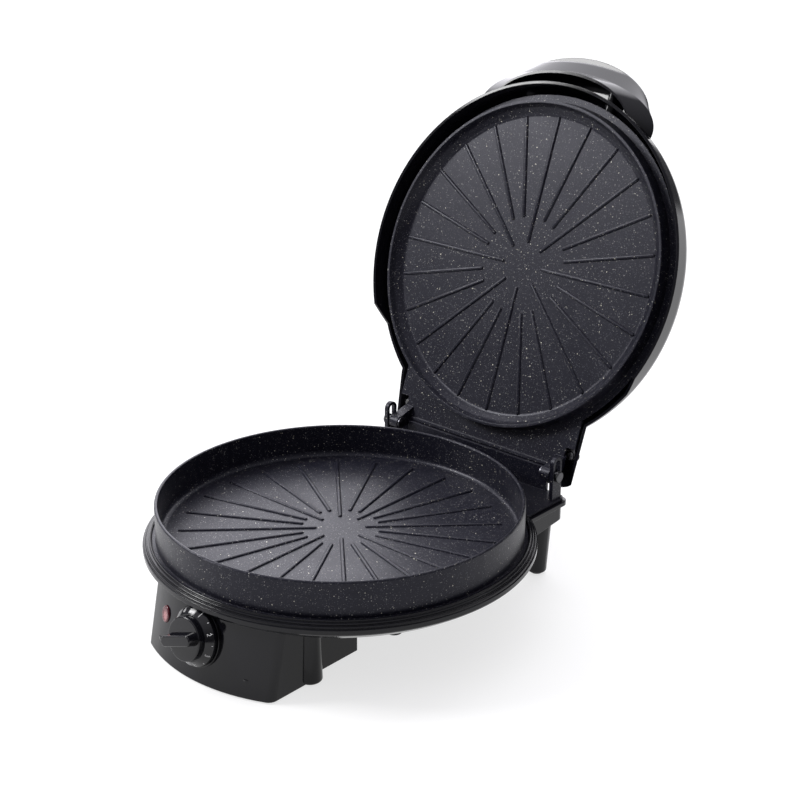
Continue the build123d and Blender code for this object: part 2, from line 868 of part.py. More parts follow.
# Handle lip: hollow half-round shelf screwed to the front of the lid
def lip_body(inset, low, drop):
    """Solid of the handle lip from this height over its crease to its roof, drawn in by inset and drop."""
    roof_spot = Location((0, handle_centre_y, handle_top_z - drop), (-handle_rise_deg, 0, 0))
    with BuildPart(mode=Mode.PRIVATE) as lip:
        with BuildSketch(lid_xy.offset(low)):
            with Locations((0, handle_centre_y)):
                Ellipse(handle_low_a - inset, handle_low_b - inset)
        with BuildSketch(lid_xy.offset(handle_crease_z)):
            with Locations((0, handle_centre_y)):
                Ellipse(handle_crease_a - inset, handle_crease_b - inset)
        with BuildSketch(Plane(lid_xy.location * roof_spot)):
            Ellipse(handle_top_a - inset, handle_top_b - inset)
        loft(ruled=True)
    return lip.part


with BuildPart() as handle_lip:
    add(lip_body(0, handle_low_z, 0))
    fillet(handle_lip.faces().sort_by(lid_axis)[-1].edges(), handle_round)
    add(lip_body(handle_wall, handle_low_z - 1.0, handle_roof), mode=Mode.SUBTRACT)
    with BuildSketch(lid_xz.offset(-handle_seat_y)):
        for side in (-1, 1):
            with Locations((side * handle_boss_x, handle_boss_z)):
                Circle(handle_boss_r)
            with Locations((side * handle_boss_x, (handle_boss_z + handle_top_z) / 2 - 1.0)):
                Rectangle(handle_web_t, handle_top_z - handle_boss_z - 2.0)
    extrude(amount=handle_seat_y - handle_boss_end_y)
    add(dome_body(-handle_gap, lid_foot), mode=Mode.SUBTRACT)
    with BuildSketch(lid_xz.offset(-handle_seat_y)):
        with Locations((-handle_boss_x, handle_boss_z), (handle_boss_x, handle_boss_z)):
            Circle(screw_r + screw_fit)
    extrude(amount=handle_screw_len + 0.5, mode=Mode.SUBTRACT)
handle_lip.part.label = "handle_lip"
handle_lip.part.location = in_frame
export_step(handle_lip.part, "parts/handle_lip.step")
print("handle_lip", handle_lip.part.is_valid, len(handle_lip.part.solids()))


# Upper plate: round cooking plate with a rim that drops into the pan, and a tail with two lugs
plate_top_z = plate_flange_z + plate_t
with BuildPart() as upper_plate:
    with BuildSketch(lid_xz) as plate_profile:
        with BuildLine():
            Polyline(
                (0, dish_floor_z),
                (dish_floor_r, dish_floor_z),
                (dish_side_r, dish_side_z),
                (crest_inner_r, crest_z),
                (crest_outer_r, crest_z),
                (plate_wall_root_r, plate_flange_z),
                (plate_flange_r, plate_flange_z),
                (plate_flange_r, plate_top_z),
                (0, plate_top_z),
                close=True,
            )
        make_face()
        for corner, corner_r in (
            ((dish_floor_r, dish_floor_z), dish_floor_round),
            ((dish_side_r, dish_side_z), dish_side_round),
        ):
            fillet(plate_profile.vertices().sort_by_distance(corner + (0,))[0], corner_r)
    revolve(axis=lid_axis)
    with BuildSketch(lid_xy.offset(plate_flange_z)):
        with BuildLine():
            Polyline(
                (-plate_tail_half_w, tail_start_y),
                (plate_tail_half_w, tail_start_y),
                (plate_tail_half_w, plate_notch_y),
                (plate_notch_x, plate_notch_y),
                (plate_notch_x, plate_tail_end_y),
                (-plate_notch_x, plate_tail_end_y),
                (-plate_notch_x, plate_notch_y),
                (-plate_tail_half_w, plate_notch_y),
                close=True,
            )
        make_face()
        with BuildLine():
            CenterArc((0, 0), plate_wall_root_r - 1.0, 0, 360)
        make_face(mode=Mode.SUBTRACT)
    extrude(amount=plate_t)
    with BuildSketch(lid_xy.offset(plate_flange_z - plate_bead_h)):
        with Locations((0, plate_tail_end_y - plate_bead_w / 2)):
            Rectangle(2 * stop_wall_half_w, plate_bead_w)
    extrude(amount=plate_bead_h)
    for side in (-1, 1):
        with BuildSketch(lid_yz.offset(side * (lug_inner_x + lug_outer_x) / 2)):
            with Locations((hinge_y, hinge_z)):
                Circle(lug_r)
            with BuildLine():
                Polyline(
                    (lug_root_y, plate_top_z),
                    (plate_tail_end_y, plate_top_z),
                    (hinge_y + lug_r, hinge_z + 1.0),
                    (hinge_y - lug_r, hinge_z - 1.0),
                    close=True,
                )
            make_face()
            with Locations((hinge_y, hinge_z)):
                Circle(pin_r + pin_fit, mode=Mode.SUBTRACT)
        extrude(amount=(lug_outer_x - lug_inner_x) / 2, both=True)
    for index in range(rib_count):
        inner = rib_length(index, plate_short_rib_inner_r)
        with BuildSketch(lid_xy.offset(dish_floor_z)):
            with PolarLocations(0, 1, start_angle=index * 360 / rib_count):
                with Locations(((inner + rib_outer_r) / 2, 0)):
                    SlotOverall(rib_outer_r - inner, rib_w)
        extrude(amount=-rib_h, taper=rib_draft)
    for angle in plate_boss_angles:
        boss_plane = ring_plane(lid_xy, plate_boss_ring_r, angle, plate_top_z)
        with BuildSketch(boss_plane):
            Circle(plate_boss_r)
        extrude(amount=top_reflector_flange_z - plate_top_z)
        with BuildSketch(boss_plane):
            Circle(screw_r + screw_fit)
        extrude(amount=top_reflector_flange_z - plate_top_z, mode=Mode.SUBTRACT)
upper_plate.part.label = "upper_plate"
upper_plate.part.location = in_frame
export_step(upper_plate.part, "parts/upper_plate.step")
print("upper_plate", upper_plate.part.is_valid, len(upper_plate.part.solids()))


# Hinge pins with round heads outside the ears, and the circlips that hold them inside the lugs
pin_head_x = ear_inner_x + ear_t + pin_head_gap
clip_x = lug_inner_x - circlip_gap - circlip_t
pin_tip_x = clip_x - pin_tip_past_clip
with BuildPart() as hinge_pins:
    for side in (-1, 1):
        pin_plane = Plane(origin=(0, hinge_y, hinge_z), x_dir=(0, 1, 0), z_dir=(side, 0, 0))
        with BuildSketch(pin_plane.offset(pin_tip_x)):
            Circle(pin_r)
        extrude(amount=pin_head_x - pin_tip_x)
        with BuildSketch(pin_plane.offset(pin_head_x)):
            Circle(pin_head_r)
        extrude(amount=pin_head_t)
        with BuildSketch(pin_plane.offset(clip_x)):
            Circle(pin_r)
            Circle(groove_r, mode=Mode.SUBTRACT)
        extrude(amount=circlip_t, mode=Mode.SUBTRACT)
    head_rims = hinge_pins.edges().filter_by(GeomType.CIRCLE).filter_by(
        lambda edge: abs(edge.radius - pin_head_r) < 0.01
        and abs(edge.center().X) > pin_head_x + pin_head_t - 0.1
    )
    fillet(head_rims, pin_head_round)
hinge_pins.part.label = "hinge_pins"
hinge_pins.part.location = in_frame
export_step(hinge_pins.part, "parts/hinge_pins.step")

with BuildPart() as pin_circlips:
    for side in (-1, 1):
        clip_plane = Plane(origin=(0, hinge_y, hinge_z), x_dir=(0, 1, 0), z_dir=(side, 0, 0))
        with BuildSketch(clip_plane.offset(clip_x + circlip_side_gap)):
            Circle(circlip_r)
            Circle(groove_r + circlip_bore_gap, mode=Mode.SUBTRACT)
            with Locations((0, circlip_r / 2 + 1.0)):
                Rectangle(circlip_mouth_w, circlip_r + 2.0, mode=Mode.SUBTRACT)
        extrude(amount=circlip_t - 2 * circlip_side_gap)
pin_circlips.part.label = "pin_circlips"
pin_circlips.part.location = in_frame
export_step(pin_circlips.part, "parts/pin_circlips.step")
print("pins", len(hinge_pins.part.solids()), len(pin_circlips.part.solids()))


# Heating elements: a tube bent to an open ring, its two ends turned away from the plate
def element_body(base, centre_z, gap_angle, end_z):
    """Tubular element around the axis of the base plane, with plain pins at its two ends."""
    half_gap = element_gap_deg / 2
    end_angles = (gap_angle + half_gap, gap_angle - half_gap)
    ring = base.offset(centre_z)
    start = ring_plane(base, element_ring_r, end_angles[0], centre_z)
    with BuildPart(mode=Mode.PRIVATE) as element:
        with BuildLine(ring):
            CenterArc((0, 0), element_ring_r, end_angles[0], 360 - element_gap_deg)
        tangent_angle = radians(end_angles[0] + 90)
        facing = base.from_local_coords(Vector(cos(tangent_angle), sin(tangent_angle), 0))
        facing = facing - base.origin
        with BuildSketch(Plane(origin=start.origin, x_dir=base.z_dir, z_dir=facing)):
            Circle(element_r)
        sweep()
        for angle in end_angles:
            corner = ring_plane(base, element_ring_r, angle, centre_z)
            with BuildSketch(corner):
                Circle(element_r)
            extrude(amount=end_z - centre_z)
            with Locations(corner.location):
                Sphere(element_r)
            with BuildSketch(ring_plane(base, element_ring_r, angle, end_z)):
                Circle(cold_end_r)
            extrude(amount=cold_end_len if end_z > centre_z else -cold_end_len)
    return element.part


def clip_bodies(base, plate_z, ring_z, away):
    """Straps that hold the element ring to the plate at plate_z; away is +1 or -1 along Z."""
    reach = element_r + clip_play
    with BuildPart(mode=Mode.PRIVATE) as clips:
        for index in range(clip_count):
            turn = 360 / clip_count * index + 30 * away
            spoke = ring_plane(base, element_ring_r, turn, ring_z).location * Rot(90, turn, 0)
            with BuildSketch(Plane(spoke).offset(-clip_w / 2)):
                with BuildLine():
                    Polyline(
                        (-reach - clip_foot, (plate_z - ring_z)),
                        (-reach - clip_foot, (plate_z - ring_z) + away * clip_t),
                        (-reach - clip_t, (plate_z - ring_z) + away * clip_t),
                        (-reach - clip_t, away * (reach + clip_t)),
                        (reach + clip_t, away * (reach + clip_t)),
                        (reach + clip_t, (plate_z - ring_z) + away * clip_t),
                        (reach + clip_foot, (plate_z - ring_z) + away * clip_t),
                        (reach + clip_foot, (plate_z - ring_z)),
                        (reach, (plate_z - ring_z)),
                        (reach, away * reach),
                        (-reach, away * reach),
                        (-reach, (plate_z - ring_z)),
                        close=True,
                    )
                make_face()
            extrude(amount=clip_w)
    return clips.part


lower_ring_z = pan_under_z - element_seat_gap - element_r
upper_ring_z = plate_top_z + element_seat_gap + element_r
with BuildPart() as lower_element:
    add(element_body(Plane.XY, lower_ring_z, -90, lower_element_end_z))
lower_element.part.label = "lower_element"
lower_element.part.location = in_frame
export_step(lower_element.part, "parts/lower_element.step")

with BuildPart() as upper_element:
    add(element_body(lid_xy, upper_ring_z, 90, upper_element_end_z))
upper_element.part.label = "upper_element"
upper_element.part.location = in_frame
export_step(upper_element.part, "parts/upper_element.step")

with BuildPart() as lower_element_clips:
    add(clip_bodies(Plane.XY, pan_under_z, lower_ring_z, -1))
lower_element_clips.part.label = "lower_element_clips"
lower_element_clips.part.location = in_frame
export_step(lower_element_clips.part, "parts/lower_element_clips.step")

with BuildPart() as upper_element_clips:
    add(clip_bodies(lid_xy, plate_top_z, upper_ring_z, 1))
upper_element_clips.part.label = "upper_element_clips"
upper_element_clips.part.location = in_frame
export_step(upper_element_clips.part, "parts/upper_element_clips.step")
print("elements", len(lower_element.part.solids()), len(upper_element.part.solids()))
print("clips", len(lower_element_clips.part.solids()), len(upper_element_clips.part.solids()))


# Reflectors: shallow sheet dishes behind the elements, clamped by the same screws as the plates
low_flange_z = pan_pad_z - reflector_gap - reflector_t
with BuildPart() as lower_reflector:
    with BuildSketch(Plane.XZ):
        with BuildLine():
            Polyline(
                (0, low_reflector_z),
                (low_reflector_r, low_reflector_z),
                (low_reflector_rise_r, low_flange_z),
                (low_reflector_flange_r, low_flange_z),
                (low_reflector_flange_r, low_flange_z + reflector_t),
                (low_reflector_rise_r - 0.6, low_flange_z + reflector_t),
                (low_reflector_r - 0.6, low_reflector_z + reflector_t),
                (0, low_reflector_z + reflector_t),
                close=True,
            )
        make_face()
    revolve(axis=Axis.Z)
    with BuildSketch(Plane.XY.offset(low_flange_z)):
        for angle in post_angles:
            with PolarLocations((low_reflector_rise_r + post_ring_r) / 2 + 1.0, 1, start_angle=angle):
                SlotCenterToCenter(post_ring_r - low_reflector_rise_r - 2.0, 2 * post_r)
            with PolarLocations(post_ring_r, 1, start_angle=angle):
                Circle(screw_r + screw_clear, mode=Mode.SUBTRACT)
    extrude(amount=reflector_t)
    for side in (-1, 1):
        end_plane = ring_plane(Plane.XY, element_ring_r, -90 + side * element_gap_deg / 2, 0)
        with BuildSketch(end_plane.offset(low_reflector_z)):
            Circle(element_r + end_hole_gap)
        extrude(amount=reflector_t, mode=Mode.SUBTRACT)
lower_reflector.part.label = "lower_reflector"
lower_reflector.part.location = in_frame
export_step(lower_reflector.part, "parts/lower_reflector.step")

with BuildPart() as upper_reflector:
    with BuildSketch(lid_xz):
        with BuildLine():
            Polyline(
                (0, top_reflector_z),
                (top_reflector_r, top_reflector_z),
                (top_reflector_rise_r, top_reflector_flange_z),
                (top_reflector_flange_r, top_reflector_flange_z),
                (top_reflector_flange_r, top_reflector_flange_z + reflector_t),
                (top_reflector_rise_r + 0.6, top_reflector_flange_z + reflector_t),
                (top_reflector_r + 0.6, top_reflector_z + reflector_t),
                (0, top_reflector_z + reflector_t),
                close=True,
            )
        make_face()
    revolve(axis=lid_axis)
    with BuildSketch(lid_xy.offset(top_reflector_flange_z)):
        for side in (-1, 1):
            tab_dx = lid_boss_x - tab_root_x
            tab_dy = lid_boss_y - tab_root_y
            tab_turn = degrees(atan2(tab_dy, side * tab_dx))
            with Locations((side * (lid_boss_x + tab_root_x) / 2, (lid_boss_y + tab_root_y) / 2)):
                SlotCenterToCenter(sqrt(tab_dx**2 + tab_dy**2), tab_w, rotation=tab_turn)
            with Locations((side * lid_boss_x, lid_boss_y)):
                Circle(screw_r + screw_clear, mode=Mode.SUBTRACT)
        for angle in plate_boss_angles:
            with PolarLocations(plate_boss_ring_r, 1, start_angle=angle):
                Circle(screw_r + screw_clear, mode=Mode.SUBTRACT)
    extrude(amount=reflector_t)
    for angle in plate_boss_angles:
        hole_plane = ring_plane(lid_xy, plate_boss_ring_r, angle, top_reflector_flange_z)
        with BuildSketch(hole_plane):
            Circle(screw_r + screw_clear)
        extrude(amount=reflector_t, mode=Mode.SUBTRACT)
    for side in (-1, 1):
        end_plane = ring_plane(lid_xy, element_ring_r, 90 + side * element_gap_deg / 2, 0)
        with BuildSketch(end_plane.offset(top_reflector_z)):
            Circle(element_r + end_hole_gap)
        extrude(amount=reflector_t, mode=Mode.SUBTRACT)
upper_reflector.part.label = "upper_reflector"
upper_reflector.part.location = in_frame
export_step(upper_reflector.part, "parts/upper_reflector.step")
print("reflectors", len(lower_reflector.part.solids()), len(upper_reflector.part.solids()))


# Screws of the pan, the upper plate, the lid and the handle
with BuildPart() as pan_screws:
    for angle in post_angles:
        with Locations(ring_plane(Plane.XY, post_ring_r, angle, post_seat_z).location):
            add(screw_body(pan_screw_len))
pan_screws.part.label = "pan_screws"
pan_screws.part.location = in_frame
export_step(pan_screws.part, "parts/pan_screws.step")

with BuildPart() as plate_screws:
    for angle in plate_boss_angles:
        seat = ring_plane(lid_xy, plate_boss_ring_r, angle, top_reflector_flange_z + reflector_t)
        with Locations(seat.location * Rot(180, 0, 0)):
            add(screw_body(plate_screw_len))
plate_screws.part.label = "plate_screws"
plate_screws.part.location = in_frame
export_step(plate_screws.part, "parts/plate_screws.step")

with BuildPart() as lid_screws:
    for side in (-1, 1):
        seat = lid_xy.location * Location((side * lid_boss_x, lid_boss_y, top_reflector_flange_z))
        with Locations(seat):
            add(screw_body(lid_screw_len))
lid_screws.part.label = "lid_screws"
lid_screws.part.location = in_frame
export_step(lid_screws.part, "parts/lid_screws.step")

with BuildPart() as handle_screws:
    for side in (-1, 1):
        seat = lid_xz.location * Location((side * handle_boss_x, handle_boss_z, -handle_seat_y))
        with Locations(seat):
            add(screw_body(handle_screw_len))
handle_screws.part.label = "handle_screws"
handle_screws.part.location = in_frame
export_step(handle_screws.part, "parts/handle_screws.step")
print("screws", len(pan_screws.part.solids()), len(plate_screws.part.solids()))
print("screws", len(lid_screws.part.solids()), len(handle_screws.part.solids()))


# Bottom cover of the control housing and its screws
with BuildPart() as bottom_cover:
    add(
        housing_front(
            -housing_wall - cover_gap, cover_low_z, cover_low_z + cover_t, housing_hollow_y
        )
    )
    with BuildSketch(Plane.XY.offset(cover_low_z)):
        with Locations(*cover_boss_spots):
            Circle(screw_r + screw_clear)
    extrude(amount=cover_t, mode=Mode.SUBTRACT)
bottom_cover.part.label = "bottom_cover"
bottom_cover.part.location = in_frame
export_step(bottom_cover.part, "parts/bottom_cover.step")

with BuildPart() as cover_screws:
    with Locations(*[(x, y, cover_low_z) for x, y in cover_boss_spots]):
        add(screw_body(cover_screw_len))
cover_screws.part.label = "cover_screws"
cover_screws.part.location = in_frame
export_step(cover_screws.part, "parts/cover_screws.step")

# Rubber feet with a peg pushed up into each column
with BuildPart() as rubber_feet:
    with BuildSketch():
        with Locations(*foot_spots):
            Circle(foot_pad_r)
    extrude(amount=column_low_z + foot_recess)
    fillet(rubber_feet.edges().group_by(Axis.Z)[0], foot_pad_round)
    with BuildSketch(Plane.XY.offset(column_low_z + foot_recess)):
        with Locations(*foot_spots):
            Circle(foot_peg_r)
    extrude(amount=foot_peg_len)
rubber_feet.part.label = "rubber_feet"
rubber_feet.part.location = in_frame
export_step(rubber_feet.part, "parts/rubber_feet.step")
print("cover", len(bottom_cover.part.solids()), len(cover_screws.part.solids()))


# Dial plate, thermostat with its nut and shaft, and the two moulded pieces of the knob
with BuildPart() as dial_plate:
    with BuildSketch(knob_plane.offset(-dial_plate_depth)):
        Circle(dial_plate_r)
        Circle(bush_r + bush_clear, mode=Mode.SUBTRACT)
    extrude(amount=dial_plate_depth + dial_plate_out)
    fillet(dial_plate.edges().filter_by(GeomType.CIRCLE).sort_by(Axis.Y)[0], dial_plate_round)
    add(
        housing_front(dial_plate_gap, panel_low_z - 1.0, housing_top_z, housing_hollow_y),
        mode=Mode.SUBTRACT,
    )
    add(bowl_outside.moved(Location((0, 0, -dial_top_gap))), mode=Mode.SUBTRACT)
dial_plate.part.label = "dial_plate"
dial_plate.part.location = in_frame
export_step(dial_plate.part, "parts/dial_plate.step")

with BuildPart() as thermostat_body:
    with BuildSketch(knob_plane.offset(-thermostat_front)):
        Rectangle(thermostat_w, thermostat_h)
    extrude(amount=-thermostat_d)
    fillet(thermostat_body.edges(), thermostat_round)
    with BuildSketch(knob_plane.offset(-thermostat_front)):
        Circle(bush_shoulder_r)
    extrude(amount=thermostat_front - bush_seat)
    with BuildSketch(knob_plane.offset(-bush_seat)):
        Circle(bush_r)
    extrude(amount=bush_seat + bush_end)
    with BuildSketch(knob_plane.offset(-shaft_depth - 0.2)):
        Circle(shaft_r + shaft_fit)
    extrude(amount=shaft_depth + 0.2 + bush_end, mode=Mode.SUBTRACT)
    with BuildSketch(knob_plane.offset(-thermostat_front - thermostat_d)):
        with Locations((-9.0, 0), (9.0, 0)):
            Rectangle(thermostat_tab_w, thermostat_tab_t)
    extrude(amount=-thermostat_tab_len)
thermostat_body.part.label = "thermostat_body"
thermostat_body.part.location = in_frame
export_step(thermostat_body.part, "parts/thermostat_body.step")

with BuildPart() as thermostat_nut:
    with BuildSketch(knob_plane.offset(dial_plate_out)):
        RegularPolygon(nut_across / 2, 6, major_radius=False)
        Circle(bush_r + screw_fit, mode=Mode.SUBTRACT)
    extrude(amount=nut_t)
thermostat_nut.part.label = "thermostat_nut"
thermostat_nut.part.location = in_frame
export_step(thermostat_nut.part, "parts/thermostat_nut.step")

flat_y = shaft_flat + shaft_r
with BuildPart() as thermostat_shaft:
    with BuildSketch(knob_plane.offset(-shaft_depth)):
        Circle(shaft_r)
    extrude(amount=shaft_depth + cap_bore_top - shaft_end_gap)
    with BuildSketch(knob_plane.offset(skirt_pocket_top - 0.4)):
        with Locations((0, flat_y)):
            Rectangle(2 * shaft_r + 1.0, 2 * shaft_r)
    extrude(amount=cap_bore_top, mode=Mode.SUBTRACT)
thermostat_shaft.part.label = "thermostat_shaft"
thermostat_shaft.part.location = in_frame
export_step(thermostat_shaft.part, "parts/thermostat_shaft.step")

skirt_top = skirt_ring_low + skirt_side_t + skirt_cone_t
with BuildPart() as knob_skirt:
    with BuildSketch(knob_plane.offset(skirt_ring_low)):
        Circle(skirt_ring_r)
    extrude(amount=skirt_side_t)
    with BuildSketch(knob_plane.offset(skirt_ring_low + skirt_side_t)):
        Circle(skirt_ring_r)
    extrude(amount=skirt_cone_t, taper=skirt_cone_deg)
    with BuildSketch(knob_plane.offset(skirt_ring_low)):
        Circle(skirt_pocket_r)
    extrude(amount=skirt_pocket_top - skirt_ring_low, mode=Mode.SUBTRACT)
    with BuildSketch(knob_plane.offset(skirt_ring_low)):
        Circle(cap_hub_r + hub_fit)
    extrude(amount=skirt_top - skirt_ring_low, mode=Mode.SUBTRACT)
knob_skirt.part.label = "knob_skirt"
knob_skirt.part.location = in_frame
export_step(knob_skirt.part, "parts/knob_skirt.step")

with BuildPart() as knob_cap:
    with BuildSketch(knob_plane.offset(skirt_top)):
        Circle(knob_cap_r)
    extrude(amount=knob_cap_top - skirt_top)
    fillet(knob_cap.edges().filter_by(GeomType.CIRCLE).sort_by(Axis.Y)[0], knob_cap_round)
    with BuildSketch(knob_plane.offset(skirt_top + 1.0)):
        SlotOverall(grip_len, grip_w, rotation=grip_turn_deg)
    extrude(amount=grip_top - skirt_top - 1.0, taper=grip_taper)
    top_face = knob_cap.faces().sort_by(Axis(knob_plane.origin, knob_plane.z_dir))[-1]
    fillet(top_face.edges(), grip_round)
    with BuildSketch(knob_plane.offset(skirt_pocket_top)):
        Circle(cap_hub_r)
    extrude(amount=skirt_top - skirt_pocket_top)
    with BuildSketch(knob_plane.offset(skirt_pocket_top)):
        Circle(shaft_r + shaft_fit)
        with Locations((0, flat_y + shaft_fit)):
            Rectangle(2 * shaft_r + 1.0, 2 * shaft_r, mode=Mode.SUBTRACT)
    extrude(amount=cap_bore_top - skirt_pocket_top, mode=Mode.SUBTRACT)
knob_cap.part.label = "knob_cap"
knob_cap.part.location = in_frame
export_step(knob_cap.part, "parts/knob_cap.step")
print("knob", len(dial_plate.part.solids()), len(thermostat_body.part.solids()))
print("knob", len(knob_skirt.part.solids()), len(knob_cap.part.solids()))


# Indicator light: red lens through the panel, with its lamp and holder behind
lens_back = housing_wall + lens_seat_gap
with BuildPart() as indicator_lens:
    with BuildSketch(lens_plane.offset(-lens_back - lens_flange_t)):
        Ellipse(lens_w / 2 + lens_flange, lens_h / 2 + lens_flange)
    extrude(amount=lens_flange_t)
    with BuildSketch(lens_plane.offset(-lens_back)):
        Ellipse(lens_w / 2, lens_h / 2)
    extrude(amount=lens_back + lens_out)
    lens_faces = indicator_lens.faces().sort_by(Axis(lens_plane.origin, lens_plane.z_dir))
    fillet(lens_faces[-1].edges(), lens_round)
indicator_lens.part.label = "indicator_lens"
indicator_lens.part.location = in_frame
export_step(indicator_lens.part, "parts/indicator_lens.step")

holder_front = lens_back + lens_flange_t
with BuildPart() as lamp_holder:
    with BuildSketch(lens_plane.offset(-holder_front)):
        Circle(lamp_holder_r)
        Circle(lamp_r + shaft_fit, mode=Mode.SUBTRACT)
    extrude(amount=-lamp_holder_len)
lamp_holder.part.label = "lamp_holder"
lamp_holder.part.location = in_frame
export_step(lamp_holder.part, "parts/lamp_holder.step")

with BuildPart() as indicator_lamp:
    with BuildSketch(lens_plane.offset(-holder_front - lamp_gap)):
        Circle(lamp_r)
    extrude(amount=-lamp_len)
    fillet(indicator_lamp.edges().filter_by(GeomType.CIRCLE).sort_by(Axis.Y)[0], lamp_round)
    with BuildSketch(lens_plane.offset(-holder_front - lamp_gap - lamp_len)):
        with Locations((-1.0, 0), (1.0, 0)):
            Circle(lamp_lead_r)
    extrude(amount=-lamp_lead_len)
indicator_lamp.part.label = "indicator_lamp"
indicator_lamp.part.location = in_frame
export_step(indicator_lamp.part, "parts/indicator_lamp.step")
print("indicator", len(indicator_lens.part.solids()), len(indicator_lamp.part.solids()))


# Cord inlet bush, terminal block with its screws, and the thermal fuse under the reflector
with BuildPart() as cord_inlet_bush:
    with BuildSketch(inlet_plane):
        Circle(inlet_flange_r)
    extrude(amount=inlet_flange_t)
    fillet(cord_inlet_bush.edges().sort_by(Axis.Y)[-1], inlet_round)
    with BuildSketch(inlet_plane):
        Circle(inlet_body_r)
    extrude(amount=inlet_flange_t - inlet_len)
    with BuildSketch(inlet_plane.offset(inlet_flange_t)):
        Circle(inlet_bore_r)
    extrude(amount=-inlet_len, mode=Mode.SUBTRACT)
cord_inlet_bush.part.label = "cord_inlet_bush"
cord_inlet_bush.part.location = in_frame
export_step(cord_inlet_bush.part, "parts/cord_inlet_bush.step")

block_floor_z = housing_rear_low_z + housing_wall
with BuildPart() as terminal_block:
    with BuildSketch(Plane.XY.offset(block_floor_z)):
        with Locations((terminal_x, terminal_y)):
            Rectangle(terminal_w, terminal_d)
    extrude(amount=terminal_h)
    with BuildSketch(Plane.XY.offset(block_floor_z + terminal_h)):
        with Locations(*[(terminal_x + index * terminal_pitch, terminal_y) for index in (-1, 0, 1)]):
            Circle(terminal_well_r)
    extrude(amount=-terminal_well_depth, mode=Mode.SUBTRACT)
    with BuildSketch(Plane.XZ.offset(-terminal_y - terminal_d / 2)):
        for index in (-1, 0, 1):
            with Locations((terminal_x + index * terminal_pitch, block_floor_z + terminal_bore_z)):
                Circle(terminal_bore_r)
    extrude(amount=terminal_d, mode=Mode.SUBTRACT)
terminal_block.part.label = "terminal_block"
terminal_block.part.location = in_frame
export_step(terminal_block.part, "parts/terminal_block.step")

with BuildPart() as terminal_screws:
    with BuildSketch(Plane.XY.offset(block_floor_z + terminal_h - terminal_well_depth)):
        with Locations(*[(terminal_x + index * terminal_pitch, terminal_y) for index in (-1, 0, 1)]):
            Circle(terminal_well_r - screw_fit)
    extrude(amount=terminal_screw_h)
    with BuildSketch(Plane.XY.offset(block_floor_z + terminal_h - terminal_well_depth + terminal_screw_h)):
        with Locations(*[(terminal_x + index * terminal_pitch, terminal_y) for index in (-1, 0, 1)]):
            Rectangle(recess_w, terminal_well_r * 1.8)
    extrude(amount=-recess_depth, mode=Mode.SUBTRACT)
terminal_screws.part.label = "terminal_screws"
terminal_screws.part.location = in_frame
export_step(terminal_screws.part, "parts/terminal_screws.step")

fuse_z = low_reflector_z - fuse_drop
with BuildPart() as thermal_fuse:
    with BuildSketch(Plane.YZ.offset(-fuse_len / 2)):
        with Locations((fuse_y, fuse_z)):
            Circle(fuse_r)
    extrude(amount=fuse_len)
    fillet(thermal_fuse.edges().filter_by(GeomType.CIRCLE), fuse_round)
    with BuildSketch(Plane.YZ.offset(-fuse_len / 2 - fuse_lead_len)):
        with Locations((fuse_y, fuse_z)):
            Circle(lamp_lead_r)
    extrude(amount=fuse_len + 2 * fuse_lead_len)
thermal_fuse.part.label = "thermal_fuse"
thermal_fuse.part.location = in_frame
export_step(thermal_fuse.part, "parts/thermal_fuse.step")

with BuildPart() as fuse_clip:
    with BuildSketch(Plane.YZ.offset(-fuse_clip_w / 2)):
        with Locations((fuse_y, fuse_z)):
            Circle(fuse_r + screw_fit + clip_t)
        with Locations((fuse_y, low_reflector_z - clip_t / 2)):
            Rectangle(fuse_clip_span, clip_t)
        with Locations((fuse_y, fuse_z)):
            Circle(fuse_r + screw_fit, mode=Mode.SUBTRACT)
        with Locations((fuse_y, low_reflector_z + fuse_drop)):
            Rectangle(fuse_clip_span + 1.0, 2 * fuse_drop, mode=Mode.SUBTRACT)
    extrude(amount=fuse_clip_w)
fuse_clip.part.label = "fuse_clip"
fuse_clip.part.location = in_frame
export_step(fuse_clip.part, "parts/fuse_clip.step")
print("electrics", len(cord_inlet_bush.part.solids()), len(terminal_block.part.solids()))
print("electrics", len(terminal_screws.part.solids()), len(thermal_fuse.part.solids()))
print("electrics", len(fuse_clip.part.solids()))
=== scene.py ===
# %% [markdown]
# # An electric pizza maker with its lid open
# This lesson dresses a finished CAD model of a countertop pizza maker. The CAD model fixes every size,
# place and joint. Blender adds what the eye needs: a speckled non-stick coat, gloss plastic, metal, a
# knob with a printed dial, and plain studio light.

# %% Load the model
import bpy
import bmesh
import json
import math
from mathutils import Matrix, Vector


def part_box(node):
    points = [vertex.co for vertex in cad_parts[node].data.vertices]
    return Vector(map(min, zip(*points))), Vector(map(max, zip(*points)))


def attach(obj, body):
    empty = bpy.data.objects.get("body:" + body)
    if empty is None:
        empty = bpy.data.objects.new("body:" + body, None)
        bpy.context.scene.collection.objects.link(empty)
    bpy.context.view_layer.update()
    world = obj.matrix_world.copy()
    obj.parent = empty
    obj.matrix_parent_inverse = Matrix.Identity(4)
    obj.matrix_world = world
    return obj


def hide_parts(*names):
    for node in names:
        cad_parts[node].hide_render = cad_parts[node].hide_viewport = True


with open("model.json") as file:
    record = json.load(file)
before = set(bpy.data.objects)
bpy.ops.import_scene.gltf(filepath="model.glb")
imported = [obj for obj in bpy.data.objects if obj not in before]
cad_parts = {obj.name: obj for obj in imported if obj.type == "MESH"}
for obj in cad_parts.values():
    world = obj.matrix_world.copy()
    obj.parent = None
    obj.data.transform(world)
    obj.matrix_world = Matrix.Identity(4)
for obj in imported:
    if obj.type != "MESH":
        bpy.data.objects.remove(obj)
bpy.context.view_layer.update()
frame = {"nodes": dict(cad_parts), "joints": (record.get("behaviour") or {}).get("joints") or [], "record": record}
nodes = frame["nodes"]
joints = {joint["name"]: joint for joint in frame["joints"]}
print("pieces in the model:", len(nodes))

